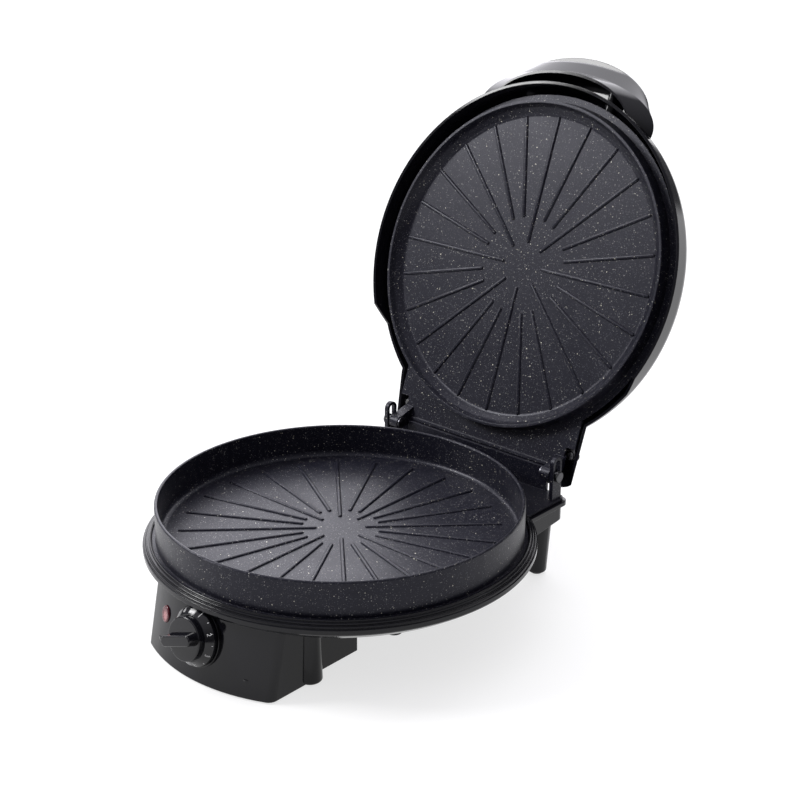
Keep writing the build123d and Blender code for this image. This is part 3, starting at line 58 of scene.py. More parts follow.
# %% [markdown]
# ## Where things are
# Lengths are metres, and MM turns a workshop drawing's millimetres into them. The round pan's axis is
# found from its reflector, which is a full disc, and the knob's from the joint that turns it.

# %% Places from the model
MM = 0.001
disc_low, disc_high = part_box("lower_reflector")
PAN_Y = (disc_low[1] + disc_high[1]) / 2
knob_at = Vector(joints["knob_turn"]["pos_m"])
knob_out = Vector(joints["knob_turn"]["axis"]).normalized()
print("pan axis at y =", round(PAN_Y, 4), "knob at", [round(value, 4) for value in knob_at])

# %% [markdown]
# ## The camera
# The camera stands where the photographer stood: to the right of the controls, about 22 degrees above
# the pan. Its place comes from matching the round pan, its rim and the lid to their outlines. The
# sensor width and the lens length are given, and together they set the width of the view.

# %% Camera
VIEW_TURN = math.radians(41.32)
VIEW_RISE = math.radians(21.64)
VIEW_ROLL = math.radians(0.47)
CAMERA_FROM_PAN = Vector((0.8886, -0.9341, 0.7059))
SENSOR_MM = 36.0
LENS_MM = 73.87
camera_back = Vector((
    math.sin(VIEW_TURN) * math.cos(VIEW_RISE),
    -math.cos(VIEW_TURN) * math.cos(VIEW_RISE),
    math.sin(VIEW_RISE),
))
level_right = Vector((math.cos(VIEW_TURN), math.sin(VIEW_TURN), 0.0))
level_up = camera_back.cross(level_right)
camera_right = level_right * math.cos(VIEW_ROLL) + level_up * math.sin(VIEW_ROLL)
camera_up = level_up * math.cos(VIEW_ROLL) - level_right * math.sin(VIEW_ROLL)
camera_data = bpy.data.cameras.new("photo_camera")
camera_data.sensor_width = SENSOR_MM
camera_data.lens = LENS_MM
camera_data.clip_start = 0.05
camera_data.clip_end = 20.0
camera = bpy.data.objects.new("photo_camera", camera_data)
bpy.context.scene.collection.objects.link(camera)
turned = Matrix((camera_right, camera_up, camera_back)).transposed().to_4x4()
camera.matrix_world = Matrix.Translation(CAMERA_FROM_PAN + Vector((0.0, PAN_Y, 0.0))) @ turned
bpy.context.scene.camera = camera
print("lens", round(camera_data.lens, 2), "mm")

# %% [markdown]
# ## Light, floor and background
# Gloss black plastic shows nothing but what it reflects, so the light is a large soft dome: bright
# overhead and dim at the horizon, with one bright field behind the object on the left. That field
# draws the pale lines along the rims. A lamp at the front left lights the two cooking faces. The floor
# is pale, and the camera and reflections see it lifted, so that it closes to white while the shadow
# under the object stays.


# %% Small node helpers
def make(tree, kind, **settings):
    """A new shader or geometry node with these settings."""
    node = tree.nodes.new(kind)
    for key, value in settings.items():
        setattr(node, key, value)
    return node


def maths(tree, operation, first, second):
    """A Math node; each of its two terms is a number or another node's output."""
    node = make(tree, "ShaderNodeMath", operation=operation)
    for socket, term in zip(node.inputs, (first, second)):
        if isinstance(term, (int, float)):
            socket.default_value = term
        else:
            tree.links.new(term, socket)
    return node.outputs[0]


def seen_directly(tree):
    """1 for rays of the camera, of reflections and of clear glass, and 0 for all others."""
    path = make(tree, "ShaderNodeLightPath").outputs
    either = maths(tree, "MAXIMUM", path["Is Camera Ray"], path["Is Glossy Ray"])
    return maths(tree, "MAXIMUM", either, path["Is Transmission Ray"])


# %% World
HORIZON_LIGHT = 0.10
ZENITH_LIGHT = 0.85
ZENITH_POWER = 1.6
BACK_LIGHT = 3.2
BACK_DIRECTION = (-0.56, 0.60, 0.57)
BACK_EDGE = 0.72
BACK_FULL = 0.90
SKY_COLOUR = (0.96, 0.95, 1.0, 1.0)
world = bpy.data.worlds.new("studio")
bpy.context.scene.world = world
world.use_nodes = True
tree = world.node_tree
tree.nodes.clear()
direction = make(tree, "ShaderNodeTexCoord")
parts = make(tree, "ShaderNodeSeparateXYZ")
tree.links.new(direction.outputs["Generated"], parts.inputs["Vector"])
height = maths(tree, "MAXIMUM", parts.outputs["Z"], 0.0)
dome = maths(tree, "MULTIPLY", maths(tree, "POWER", height, ZENITH_POWER), ZENITH_LIGHT)
towards_back = make(tree, "ShaderNodeVectorMath", operation="DOT_PRODUCT")
tree.links.new(direction.outputs["Generated"], towards_back.inputs[0])
towards_back.inputs[1].default_value = Vector(BACK_DIRECTION).normalized()
field = make(tree, "ShaderNodeMapRange", interpolation_type="SMOOTHSTEP")
field.inputs["From Min"].default_value = BACK_EDGE
field.inputs["From Max"].default_value = BACK_FULL
field.inputs["To Max"].default_value = BACK_LIGHT
tree.links.new(towards_back.outputs["Value"], field.inputs["Value"])
sky = make(tree, "ShaderNodeBackground")
sky.inputs["Color"].default_value = SKY_COLOUR
both = maths(tree, "ADD", dome, field.outputs["Result"])
tree.links.new(maths(tree, "ADD", both, HORIZON_LIGHT), sky.inputs["Strength"])
result = make(tree, "ShaderNodeOutputWorld")
tree.links.new(sky.outputs["Background"], result.inputs["Surface"])
print("sky from", HORIZON_LIGHT, "to", HORIZON_LIGHT + ZENITH_LIGHT, "with a field of", BACK_LIGHT)


# %% Lamp
def soft_lamp(name, place, aim, side, power):
    """One square lamp at a place, turned to an aim; its side is in metres and its power in watts."""
    data = bpy.data.lights.new(name, "AREA")
    data.shape = "SQUARE"
    data.size = side
    data.energy = power
    lamp = bpy.data.objects.new(name, data)
    bpy.context.scene.collection.objects.link(lamp)
    lamp.location = place
    lamp.rotation_euler = (Vector(aim) - Vector(place)).to_track_quat("-Z", "Y").to_euler()
    return lamp


soft_lamp(
    "lamp_front_left", place=(-1.75, -1.30, 1.70), aim=(0.0, 0.1, 0.25), side=0.9, power=62.0
)
print("lamps", len(bpy.data.lights))

# %% Floor
FLOOR_HALF = 7.0
FLOOR_GREY = (0.36, 0.36, 0.36, 1.0)
FLOOR_GLOW = 0.70
floor_mesh = bpy.data.meshes.new("floor")
floor_corners = [
    (x * FLOOR_HALF, y * FLOOR_HALF, 0.0) for x, y in ((-1, -1), (1, -1), (1, 1), (-1, 1))
]
floor_mesh.from_pydata(floor_corners, [], [(0, 1, 2, 3)])
floor = bpy.data.objects.new("floor", floor_mesh)
bpy.context.scene.collection.objects.link(floor)
floor_material = bpy.data.materials.new("pale_floor")
floor_material.use_nodes = True
tree = floor_material.node_tree
tree.nodes.clear()
matt = make(tree, "ShaderNodeBsdfDiffuse")
matt.inputs["Color"].default_value = FLOOR_GREY
glow = make(tree, "ShaderNodeEmission")
glow.inputs["Color"].default_value = (1.0, 1.0, 1.0, 1.0)
tree.links.new(maths(tree, "MULTIPLY", seen_directly(tree), FLOOR_GLOW), glow.inputs["Strength"])
both = make(tree, "ShaderNodeAddShader")
result = make(tree, "ShaderNodeOutputMaterial")
tree.links.new(matt.outputs["BSDF"], both.inputs[0])
tree.links.new(glow.outputs["Emission"], both.inputs[1])
tree.links.new(both.outputs["Shader"], result.inputs["Surface"])
floor_mesh.materials.append(floor_material)
bpy.context.scene.view_settings.view_transform = "Standard"
print("floor", 2 * FLOOR_HALF, "m wide")

# %% [markdown]
# ## Gloss black plastic
# The shells, the handle and the knob are injection moulded in gloss black plastic. It is a dielectric:
# nearly black inside, with a clear, slightly uneven skin. Real mouldings are never mirror flat, so a
# very low wide bump bends the reflections a little, and the roughness drifts over the surface.

# %% Helpers for materials
NOISE_MIDDLE = (0.3, 0.7)


def new_material(name):
    """A material, its tree, its Principled shader and its texture coordinates."""
    material = bpy.data.materials.new(name)
    material.use_nodes = True
    tree = material.node_tree
    return material, tree, tree.nodes["Principled BSDF"], make(tree, "ShaderNodeTexCoord")


def noise(tree, place, scale, detail=2.0, roughness=0.5):
    """A noise value in object coordinates; scale counts its features per metre."""
    texture = make(tree, "ShaderNodeTexNoise")
    texture.inputs["Scale"].default_value = scale
    texture.inputs["Detail"].default_value = detail
    texture.inputs["Roughness"].default_value = roughness
    tree.links.new(place.outputs["Object"], texture.inputs["Vector"])
    return texture.outputs["Fac"]


def spread(tree, source, low, high):
    """Stretches the middle range of a noise to the range from low to high."""
    stretch = make(tree, "ShaderNodeMapRange")
    stretch.inputs["From Min"].default_value = NOISE_MIDDLE[0]
    stretch.inputs["From Max"].default_value = NOISE_MIDDLE[1]
    stretch.inputs["To Min"].default_value = low
    stretch.inputs["To Max"].default_value = high
    tree.links.new(source, stretch.inputs["Value"])
    return stretch.outputs["Result"]


def two_tones(tree, source, dark, light):
    """A colour that runs from dark to light with the source."""
    ramp = make(tree, "ShaderNodeValToRGB")
    for element, position, colour in zip(ramp.color_ramp.elements, NOISE_MIDDLE, (dark, light)):
        element.position = position
        element.color = (*colour, 1.0)
    tree.links.new(source, ramp.inputs["Fac"])
    return ramp.outputs["Color"]


def relief(tree, source, depth, shader, edge=0.0):
    """Bends the shader's normals over a relief of this depth and rounds edges to this radius."""
    bump = make(tree, "ShaderNodeBump")
    if edge:
        rounded = make(tree, "ShaderNodeBevel", samples=6)
        rounded.inputs["Radius"].default_value = edge
        tree.links.new(rounded.outputs["Normal"], bump.inputs["Normal"])
    bump.inputs["Strength"].default_value = 1.0
    bump.inputs["Distance"].default_value = depth
    tree.links.new(source, bump.inputs["Height"])
    tree.links.new(bump.outputs["Normal"], shader.inputs["Normal"])


def surface(name, tones, rough, scales, wave, edge=0.0, **shader_values):
    """A finish in two close tones, whose roughness runs over a range and whose skin has a low relief.

    The three scales are those of the tones, of the roughness and of the relief, as features per metre.
    The wave is the depth of the relief, and the edge is the radius that its edges are rounded to.
    """
    material, tree, shader, place = new_material(name)
    tone_scale, rough_scale, wave_scale = scales
    tone = noise(tree, place, tone_scale, detail=3.0)
    tree.links.new(two_tones(tree, tone, *tones), shader.inputs["Base Color"])
    skin = noise(tree, place, rough_scale, detail=4.0)
    tree.links.new(spread(tree, skin, *rough), shader.inputs["Roughness"])
    relief(tree, noise(tree, place, wave_scale, detail=2.0), wave, shader, edge)
    for socket, value in shader_values.items():
        shader.inputs[socket.replace("_", " ")].default_value = value
    return material


# %% Gloss plastics
BLACK_TONES = ((0.004, 0.004, 0.006), (0.007, 0.007, 0.010))
DIAL_TONES = ((0.003, 0.003, 0.004), (0.006, 0.006, 0.008))
KNOB_SCALES = (30.0, 160.0, 90.0)
finishes = {
    "shell_black": surface(
        "shell_black", BLACK_TONES, rough=(0.06, 0.12), scales=(9.0, 55.0, 42.0),
        wave=0.03 * MM, edge=0.6 * MM, IOR=1.35,
    ),
    "knob_black": surface(
        "knob_black", BLACK_TONES, rough=(0.08, 0.16), scales=KNOB_SCALES, wave=0.01 * MM, IOR=1.42
    ),
    "dial_black": surface(
        "dial_black", DIAL_TONES, rough=(0.12, 0.22), scales=KNOB_SCALES, wave=0.01 * MM, IOR=1.36
    ),
}
print("gloss plastics", len(finishes))

# %% [markdown]
# ## The red lens
# The indicator's window is a small moulded jewel in clear red plastic. A lamp stands behind it, and its
# light is painted into the colour: a painted glow makes the middle paler than the rim, and the facets on
# its back break that painted light up. Here a Voronoi texture stands for the facets, in the tone as in the relief.

# %% Red lens
LENS_W = 12.0 * MM
LENS_H = 14.6 * MM
FACET = 0.9 * MM
FACET_DEPTH = 0.10 * MM
# Painted light: the facets break the lamp's glow into a darker and paler pattern in the colour.
FACET_PAINTED_SPARKLE = 0.45
# Painted glow: the level and the pink of the pale middle stand in for the lamp shining through the lens.
LENS_PAINTED_GLOW_LEVEL = 1.25
LENS_RED = (0.10, 0.012, 0.020)
LENS_PAINTED_GLOW_PINK = (0.42, 0.16, 0.17)


def jewel_lens(name):
    """Clear red plastic with small facets and a painted glow: pale in the middle of the lens, dark at its edge."""
    material, tree, shader, place = new_material(name)
    low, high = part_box("indicator_lens")
    middle = (Vector(low) + Vector(high)) / 2
    from_middle = make(tree, "ShaderNodeVectorMath", operation="SUBTRACT")
    tree.links.new(place.outputs["Object"], from_middle.inputs[0])
    from_middle.inputs[1].default_value = middle
    scaled = make(tree, "ShaderNodeVectorMath", operation="MULTIPLY")
    tree.links.new(from_middle.outputs["Vector"], scaled.inputs[0])
    scaled.inputs[1].default_value = (1 / (LENS_W / 2), 0.0, 1 / (LENS_H / 2))
    away = make(tree, "ShaderNodeVectorMath", operation="LENGTH")
    tree.links.new(scaled.outputs["Vector"], away.inputs[0])
    facets = make(tree, "ShaderNodeTexVoronoi", feature="F1")
    facets.inputs["Scale"].default_value = 1.0 / FACET
    tree.links.new(place.outputs["Object"], facets.inputs["Vector"])
    # Painted light from the facets: each facet cell is darker towards its edge.
    painted_sparkle = maths(tree, "MULTIPLY", facets.outputs["Distance"], FACET_PAINTED_SPARKLE)
    # Painted glow: the colour grows paler towards the middle of the lens, as if lit by the lamp behind it.
    painted_glow = maths(tree, "SUBTRACT", LENS_PAINTED_GLOW_LEVEL, away.outputs["Value"])
    tone = maths(tree, "SUBTRACT", painted_glow, painted_sparkle)
    tree.links.new(two_tones(tree, tone, LENS_RED, LENS_PAINTED_GLOW_PINK), shader.inputs["Base Color"])
    shader.inputs["Roughness"].default_value = 0.16
    shader.inputs["IOR"].default_value = 1.49
    relief(tree, facets.outputs["Distance"], FACET_DEPTH, shader)
    return material


finishes["lens_red"] = jewel_lens("lens_red")
print("lens", round(LENS_W / MM, 1), "by", round(LENS_H / MM, 1), "mm")

# %% [markdown]
# ## Speckled non-stick coat
# Both cooking faces are cast aluminium under a charcoal coat with pale flecks. The flecks are cells of
# a Voronoi texture: only some of the cells carry one, and each has its own size and tone. Three
# layers, from dust to single bright flecks, and a fine bump give the coat its dry grain.

# %% Speckled coat
# Each layer of flecks: cells per metre, the largest fleck as a share of its cell, the share of the
# cells that carry one, and the two tones between which its colour is drawn.
FLECKS = (
    (1250.0, 0.60, 0.42, (0.018, 0.018, 0.026), (0.075, 0.075, 0.088)),
    (700.0, 0.38, 0.34, (0.070, 0.070, 0.076), (0.280, 0.275, 0.260)),
    (360.0, 0.20, 0.24, (0.250, 0.235, 0.190), (0.850, 0.820, 0.700)),
)
COAT_TONES = ((0.004, 0.004, 0.008), (0.010, 0.010, 0.018))
COAT_ROUGH = (0.32, 0.40)
GRAIN_SCALE = 1500.0
DRIFT_SCALE = 24.0
COAT_GRAIN = 0.05 * MM
COAT_EDGE = 0.8 * MM
COAT_TINT = (0.90, 0.90, 1.0, 1.0)


def fleck_layer(tree, place, scale, radius, share):
    """The mask of one layer of round flecks, and a random value for each fleck's tone."""
    cells = make(tree, "ShaderNodeTexVoronoi")
    cells.inputs["Scale"].default_value = scale
    tree.links.new(place.outputs["Object"], cells.inputs["Vector"])
    draw = make(tree, "ShaderNodeSeparateColor")
    tree.links.new(cells.outputs["Color"], draw.inputs["Color"])
    size = maths(tree, "MULTIPLY", draw.outputs["Green"], radius)
    inside = maths(tree, "LESS_THAN", cells.outputs["Distance"], size)
    chosen = maths(tree, "LESS_THAN", draw.outputs["Red"], share)
    return maths(tree, "MULTIPLY", inside, chosen), draw.outputs["Blue"]


def lay_over(tree, under, over, mask):
    """The colour under, with the colour over where the mask is 1."""
    mix = make(tree, "ShaderNodeMix", data_type="RGBA")
    tree.links.new(mask, mix.inputs["Factor"])
    # A Mix node has sockets A, B and Result for each kind of data, so the colour ones go by number.
    tree.links.new(under, mix.inputs[6])
    tree.links.new(over, mix.inputs[7])
    return mix.outputs[2]


def speckled_coat(name):
    """Charcoal non-stick coat with pale flecks in three sizes."""
    material, tree, shader, place = new_material(name)
    grain = noise(tree, place, GRAIN_SCALE, detail=3.0, roughness=0.7)
    coat = two_tones(tree, grain, *COAT_TONES)
    for scale, radius, share, dark, light in FLECKS:
        mask, tone = fleck_layer(tree, place, scale, radius, share)
        coat = lay_over(tree, coat, two_tones(tree, tone, dark, light), mask)
    tree.links.new(coat, shader.inputs["Base Color"])
    drift = noise(tree, place, DRIFT_SCALE, detail=3.0)
    tree.links.new(spread(tree, drift, *COAT_ROUGH), shader.inputs["Roughness"])
    relief(tree, grain, COAT_GRAIN, shader, COAT_EDGE)
    shader.inputs["IOR"].default_value = 1.33
    shader.inputs["Specular Tint"].default_value = COAT_TINT
    return material


finishes["nonstick_coat"] = speckled_coat("nonstick_coat")
print("finishes so far", len(finishes))

# %% [markdown]
# ## Metal, rubber and the plastics inside
# The pieces that show least still get their own finish: zinc on the screws, oxide on the heating
# tubes, bright rolled sheet on the reflectors, matt rubber on the feet. Metal is all reflection, so
# its colour is the tint of its highlights, and its roughness tells how it was made.

# %% Metals
# Each metal: its dark tone, its light tone, and its least and most roughness.
BRASS = ((0.58, 0.43, 0.19), (0.72, 0.56, 0.27), 0.24, 0.36)
METALS = {
    "thermostat_steel": ((0.42, 0.42, 0.43), (0.56, 0.56, 0.57), 0.28, 0.42),
    "steel": ((0.46, 0.46, 0.47), (0.60, 0.60, 0.61), 0.26, 0.38),
    "spring_steel": ((0.14, 0.14, 0.16), (0.22, 0.22, 0.24), 0.28, 0.40),
    "shaft_steel": ((0.50, 0.50, 0.51), (0.62, 0.62, 0.63), 0.18, 0.28),
    "pin_steel": ((0.050, 0.050, 0.054), (0.11, 0.11, 0.115), 0.26, 0.40),
    "screw_steel": ((0.10, 0.10, 0.105), (0.18, 0.18, 0.185), 0.30, 0.42),
    "nut_brass": BRASS,
    "terminal_brass": BRASS,
    "element_sheath": ((0.16, 0.15, 0.14), (0.30, 0.29, 0.28), 0.42, 0.60),
    "reflector_sheet": ((0.70, 0.70, 0.71), (0.80, 0.80, 0.81), 0.20, 0.32),
    "fuse_metal": ((0.56, 0.54, 0.48), (0.70, 0.68, 0.62), 0.30, 0.40),
}
for name, (dark, light, low, high) in METALS.items():
    finishes[name] = surface(
        name, (dark, light), (low, high), scales=(70.0, 900.0, 1400.0), wave=0.015 * MM, Metallic=1.0
    )
print("metals", len(METALS))

# %% Matt plastics and rubber
# Each one: its dark tone, its light tone, its least and most roughness, and its grain in mm.
MATT = {
    "holder_plastic": ((0.66, 0.64, 0.58), (0.75, 0.73, 0.68), 0.45, 0.60, 0.03),
    "terminal_plastic": ((0.70, 0.69, 0.63), (0.80, 0.79, 0.74), 0.45, 0.60, 0.03),
    "cover_plastic": ((0.022, 0.022, 0.026), (0.034, 0.034, 0.038), 0.50, 0.65, 0.10),
    "foot_rubber": ((0.020, 0.020, 0.020), (0.034, 0.034, 0.034), 0.70, 0.90, 0.06),
    "bush_rubber": ((0.018, 0.018, 0.020), (0.030, 0.030, 0.032), 0.65, 0.85, 0.06),
}
for name, (dark, light, low, high, grain) in MATT.items():
    finishes[name] = surface(
        name, (dark, light), (low, high), scales=(60.0, 400.0, 1500.0), wave=grain * MM
    )
print("matt finishes", len(MATT))

# %% Lamp glass and dial print
finishes["lamp_glass"] = surface(
    "lamp_glass", ((0.90, 0.52, 0.34), (0.96, 0.60, 0.42)), rough=(0.02, 0.06),
    scales=(200.0, 400.0, 500.0), wave=0.02 * MM, Transmission_Weight=0.9, IOR=1.5,
)
finishes["dial_white"] = surface(
    "dial_white", ((0.62, 0.62, 0.62), (0.80, 0.80, 0.80)), rough=(0.35, 0.50),
    scales=(900.0, 600.0, 1500.0), wave=0.01 * MM,
)

# %% Every CAD piece gets the finish of its slot
for subpart in frame["record"]["subparts"]:
    slots = nodes[subpart["node"]].data.materials
    slots.clear()
    slots.append(finishes[subpart["material_slot"]])

# %% [markdown]
# ## Round pieces are turned
# The knob's pieces are round, so they are drawn as half a section and turned about the knob's axis,
# as on a lathe. Corners get small arcs first: a moulding has no knife edges, and it is the rounded
# edge that catches the light.

# %% Lathe helpers
TINY = 1e-9
MERGE_DISTANCE = 1e-6
LATHE_SIDES = 128


def round_corners(outline, steps=5):
    """The closed outline of (x, y, corner radius) with each corner replaced by its arc."""
    points = []
    count = len(outline)
    for index, (x, y, radius) in enumerate(outline):
        corner = Vector((x, y))
        before = (Vector(outline[index - 1][:2]) - corner).normalized()
        after = (Vector(outline[(index + 1) % count][:2]) - corner).normalized()
        if radius == 0.0:
            points.append(corner)
            continue
        half_angle = before.angle(after) / 2
        centre = corner + (before + after).normalized() * (radius / math.sin(half_angle))
        start = corner + before * (radius / math.tan(half_angle)) - centre
        sweep = start.angle_signed(corner + after * (radius / math.tan(half_angle)) - centre)
        for step in range(steps + 1):
            turn = Matrix.Rotation(-sweep * step / steps, 2)
            points.append(centre + turn @ start)
    return points


def finish_mesh(work, name, place=None):
    """Merges doubles, turns the faces outwards, moves the bmesh into place and makes its object."""
    bmesh.ops.remove_doubles(work, verts=work.verts, dist=MERGE_DISTANCE)
    bmesh.ops.recalc_face_normals(work, faces=work.faces)
    if place:
        bmesh.ops.transform(work, matrix=place, verts=work.verts)
    mesh = bpy.data.meshes.new(name)
    work.to_mesh(mesh)
    work.free()
    mesh.shade_smooth()
    piece = bpy.data.objects.new(name, mesh)
    bpy.context.scene.collection.objects.link(piece)
    return piece


def turn_outline(outline, sides=LATHE_SIDES):
    """A closed outline of (radius, height) turned about the axis, as a bmesh."""
    work = bmesh.new()
    rings = []
    for side in range(sides):
        angle = 2 * math.pi * side / sides
        ring = [
            work.verts.new((radius * math.cos(angle), radius * math.sin(angle), height))
            for radius, height in outline
        ]
        rings.append(ring)
    on_axis = [abs(radius) < TINY for radius, height in outline]
    for side, ring in enumerate(rings):
        following = rings[(side + 1) % sides]
        for index in range(len(outline)):
            if on_axis[index - 1] and on_axis[index]:
                continue
            work.faces.new((ring[index - 1], ring[index], following[index], following[index - 1]))
    return work


def sharpen(piece, degrees_limit=35.0):
    """Keeps flat faces flat: edges sharper than the limit break the smooth shading."""
    mesh = piece.data
    work = bmesh.new()
    work.from_mesh(mesh)
    for edge in work.edges:
        if len(edge.link_faces) == 2:
            edge.smooth = edge.calc_face_angle() < math.radians(degrees_limit)
    work.to_mesh(mesh)
    work.free()


# %% [markdown]
# ## Ribs on the cooking faces
# Both faces carry 24 raised ribs, every third one longer. A cast rib has no sharp edge, so one rib is a
# long ball: a sphere whose halves are pulled apart, flattened to the rib's height. A small Geometry
# Nodes tree turns copies of a piece about an axis. The same tree later makes the ticks of the dial.

# %% Ring of copies, as Geometry Nodes
def ring_of_copies_tree():
    """A tree that turns copies of a piece about Z by its named inputs, and gives them a finish."""
    tree = bpy.data.node_groups.new("ring_of_copies", "GeometryNodeTree")
    for name, kind in (
        ("Piece", "NodeSocketObject"),
        ("Count", "NodeSocketInt"),
        ("Start", "NodeSocketFloat"),
        ("Step", "NodeSocketFloat"),
        ("Finish", "NodeSocketMaterial"),
    ):
        tree.interface.new_socket(name=name, in_out="INPUT", socket_type=kind)
    tree.interface.new_socket(name="Geometry", in_out="OUTPUT", socket_type="NodeSocketGeometry")
    given = make(tree, "NodeGroupInput")
    spots = make(tree, "GeometryNodeMeshLine", mode="OFFSET")
    spots.inputs["Offset"].default_value = (0.0, 0.0, 0.0)
    tree.links.new(given.outputs["Count"], spots.inputs["Count"])
    source = make(tree, "GeometryNodeObjectInfo")
    tree.links.new(given.outputs["Piece"], source.inputs["Object"])
    number = make(tree, "GeometryNodeInputIndex").outputs["Index"]
    turned = maths(tree, "MULTIPLY", number, given.outputs["Step"])
    turn = maths(tree, "ADD", turned, given.outputs["Start"])
    angles = make(tree, "ShaderNodeCombineXYZ")
    tree.links.new(turn, angles.inputs["Z"])
    rotation = make(tree, "FunctionNodeEulerToRotation")
    tree.links.new(angles.outputs["Vector"], rotation.inputs["Euler"])
    copies = make(tree, "GeometryNodeInstanceOnPoints")
    tree.links.new(spots.outputs["Mesh"], copies.inputs["Points"])
    tree.links.new(source.outputs["Geometry"], copies.inputs["Instance"])
    tree.links.new(rotation.outputs["Rotation"], copies.inputs["Rotation"])
    real = make(tree, "GeometryNodeRealizeInstances")
    tree.links.new(copies.outputs["Instances"], real.inputs["Geometry"])
    coat = make(tree, "GeometryNodeSetMaterial")
    tree.links.new(real.outputs["Geometry"], coat.inputs["Geometry"])
    tree.links.new(given.outputs["Finish"], coat.inputs["Material"])
    out = make(tree, "NodeGroupOutput")
    tree.links.new(coat.outputs["Geometry"], out.inputs["Geometry"])
    return tree


copies_tree = ring_of_copies_tree()
print("nodes in the tree", len(copies_tree.nodes))


# %% Plain meshes from live objects
def plain_mesh(owner):
    """The evaluated mesh of an object, as a plain mesh that no modifier or text holds any more."""
    bpy.context.view_layer.update()
    depsgraph = bpy.context.evaluated_depsgraph_get()
    return bpy.data.meshes.new_from_object(owner.evaluated_get(depsgraph))


def ring_of_copies(name, piece, count, start, step, finish, place):
    """A plain mesh of the turned copies, set into place; the piece itself is used up."""
    holder = bpy.data.objects.new(name, bpy.data.meshes.new(name))
    bpy.context.scene.collection.objects.link(holder)
    modifier = holder.modifiers.new("copies", "NODES")
    modifier.node_group = copies_tree
    sockets = {item.name: item.identifier for item in copies_tree.interface.items_tree}
    modifier[sockets["Piece"]] = piece
    modifier[sockets["Count"]] = count
    modifier[sockets["Start"]] = math.radians(start)
    modifier[sockets["Step"]] = math.radians(step)
    modifier[sockets["Finish"]] = finish
    mesh = plain_mesh(holder)
    holder.modifiers.remove(modifier)
    bpy.data.objects.remove(holder)
    bpy.data.objects.remove(piece)
    mesh.name = name
    mesh.transform(place)
    whole = bpy.data.objects.new(name, mesh)
    bpy.context.scene.collection.objects.link(whole)
    return whole


# %% Ribs
RIB_OUTER_R = 141.0 * MM
LONG_INNER_R = 21.0 * MM
RIB_STEP = 15.0
LONG_EVERY = 3
RIB_W = 3.9 * MM
RIB_H = 1.42 * MM
PAN_FLOOR_Z = 75.0 * MM
PLATE_FLOOR_Z = 106.5 * MM
LID_OPEN = math.radians(110.4)
PAN_RIB_INNER_R = 33.5 * MM
PLATE_RIB_INNER_R = 45.0 * MM
hinge = Vector(joints["lid_hinge"]["pos_m"])
pan_place = Matrix.Translation((0.0, PAN_Y, 0.0))
opened = Matrix.Translation(hinge) @ Matrix.Rotation(-LID_OPEN, 4, "X") @ Matrix.Translation(-hinge)
face_down = Matrix.Rotation(math.pi, 4, "X")
pan_ribs_place = pan_place @ Matrix.Translation((0.0, 0.0, PAN_FLOOR_Z))
plate_ribs_place = opened @ pan_place @ Matrix.Translation((0.0, 0.0, PLATE_FLOOR_Z)) @ face_down


def rib(inner_r):
    """One rib along X, from this radius to the outer radius that all ribs share."""
    work = bmesh.new()
    bmesh.ops.create_uvsphere(work, u_segments=24, v_segments=12, radius=0.5)
    half_run = (RIB_OUTER_R - inner_r - RIB_W) / 2
    for vert in work.verts:
        x, y, z = vert.co
        side = 0 if abs(x) < MERGE_DISTANCE else math.copysign(1, x)
        along = (inner_r + RIB_OUTER_R) / 2 + x * RIB_W + side * half_run
        vert.co = Vector((along, y * RIB_W, z * 2 * RIB_H))
    return finish_mesh(work, "rib")


def ribs(name, short_inner_r, place, body):
    """The ribs of one cooking face as one piece: a ring of long ones and two rings of short ones."""
    rings = []
    for offset in range(LONG_EVERY):
        inner_r = short_inner_r if offset else LONG_INNER_R
        part = ring_of_copies(
            "rib_ring", rib(inner_r), int(360 / RIB_STEP / LONG_EVERY), offset * RIB_STEP,
            RIB_STEP * LONG_EVERY, finishes["nonstick_coat"], place,
        )
        rings.append(part)
    work = bmesh.new()
    for part in rings:
        work.from_mesh(part.data)
        bpy.data.objects.remove(part)
    piece = finish_mesh(work, name)
    piece.data.materials.append(finishes["nonstick_coat"])
    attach(piece, body)
    print(name, len(piece.data.polygons), "faces")
    return piece


pan_ribs = ribs("pan_ribs", PAN_RIB_INNER_R, pan_ribs_place, "base")
plate_ribs = ribs("plate_ribs", PLATE_RIB_INNER_R, plate_ribs_place, "lid")

# %% [markdown]
# ## Beads on the rim
# The bowl's rim steps down in narrow ridges. On the real moulding each ridge is a round bead, and the
# light draws a fine line along it. Four turned beads of a small circle lie in the steps.

# %% Beads on the rim
BEAD_R = 0.85 * MM
BEAD_SPOTS_MM = ((164.7, 74.5), (166.9, 72.8), (169.1, 70.9), (170.45, 68.6))
BEAD_SIDES = 360
BEAD_STEPS = 16


def small_circle(middle_r, middle_z):
    """The section of a bead about this spot, as (radius, height)."""
    angles = [2 * math.pi * step / BEAD_STEPS for step in range(BEAD_STEPS)]
    return [
        (middle_r + BEAD_R * math.cos(angle), middle_z + BEAD_R * math.sin(angle)) for angle in angles
    ]


beads = bmesh.new()
for radius, height in BEAD_SPOTS_MM:
    ring_work = turn_outline(small_circle(radius * MM, height * MM), BEAD_SIDES)
    ring_mesh = bpy.data.meshes.new("bead")
    ring_work.to_mesh(ring_mesh)
    ring_work.free()
    beads.from_mesh(ring_mesh)
    bpy.data.meshes.remove(ring_mesh)
rim_beads = finish_mesh(beads, "rim_beads", pan_place)
rim_beads.data.materials.append(finishes["shell_black"])
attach(rim_beads, "base")
print("rim beads", len(rim_beads.data.polygons), "faces")

# %% [markdown]
# ## The dial ring
# The ring under the knob's grip is a cone with its numbers printed on the slope, so they can be read
# from above. The ring is turned. Its height and radii are those of the CAD piece.

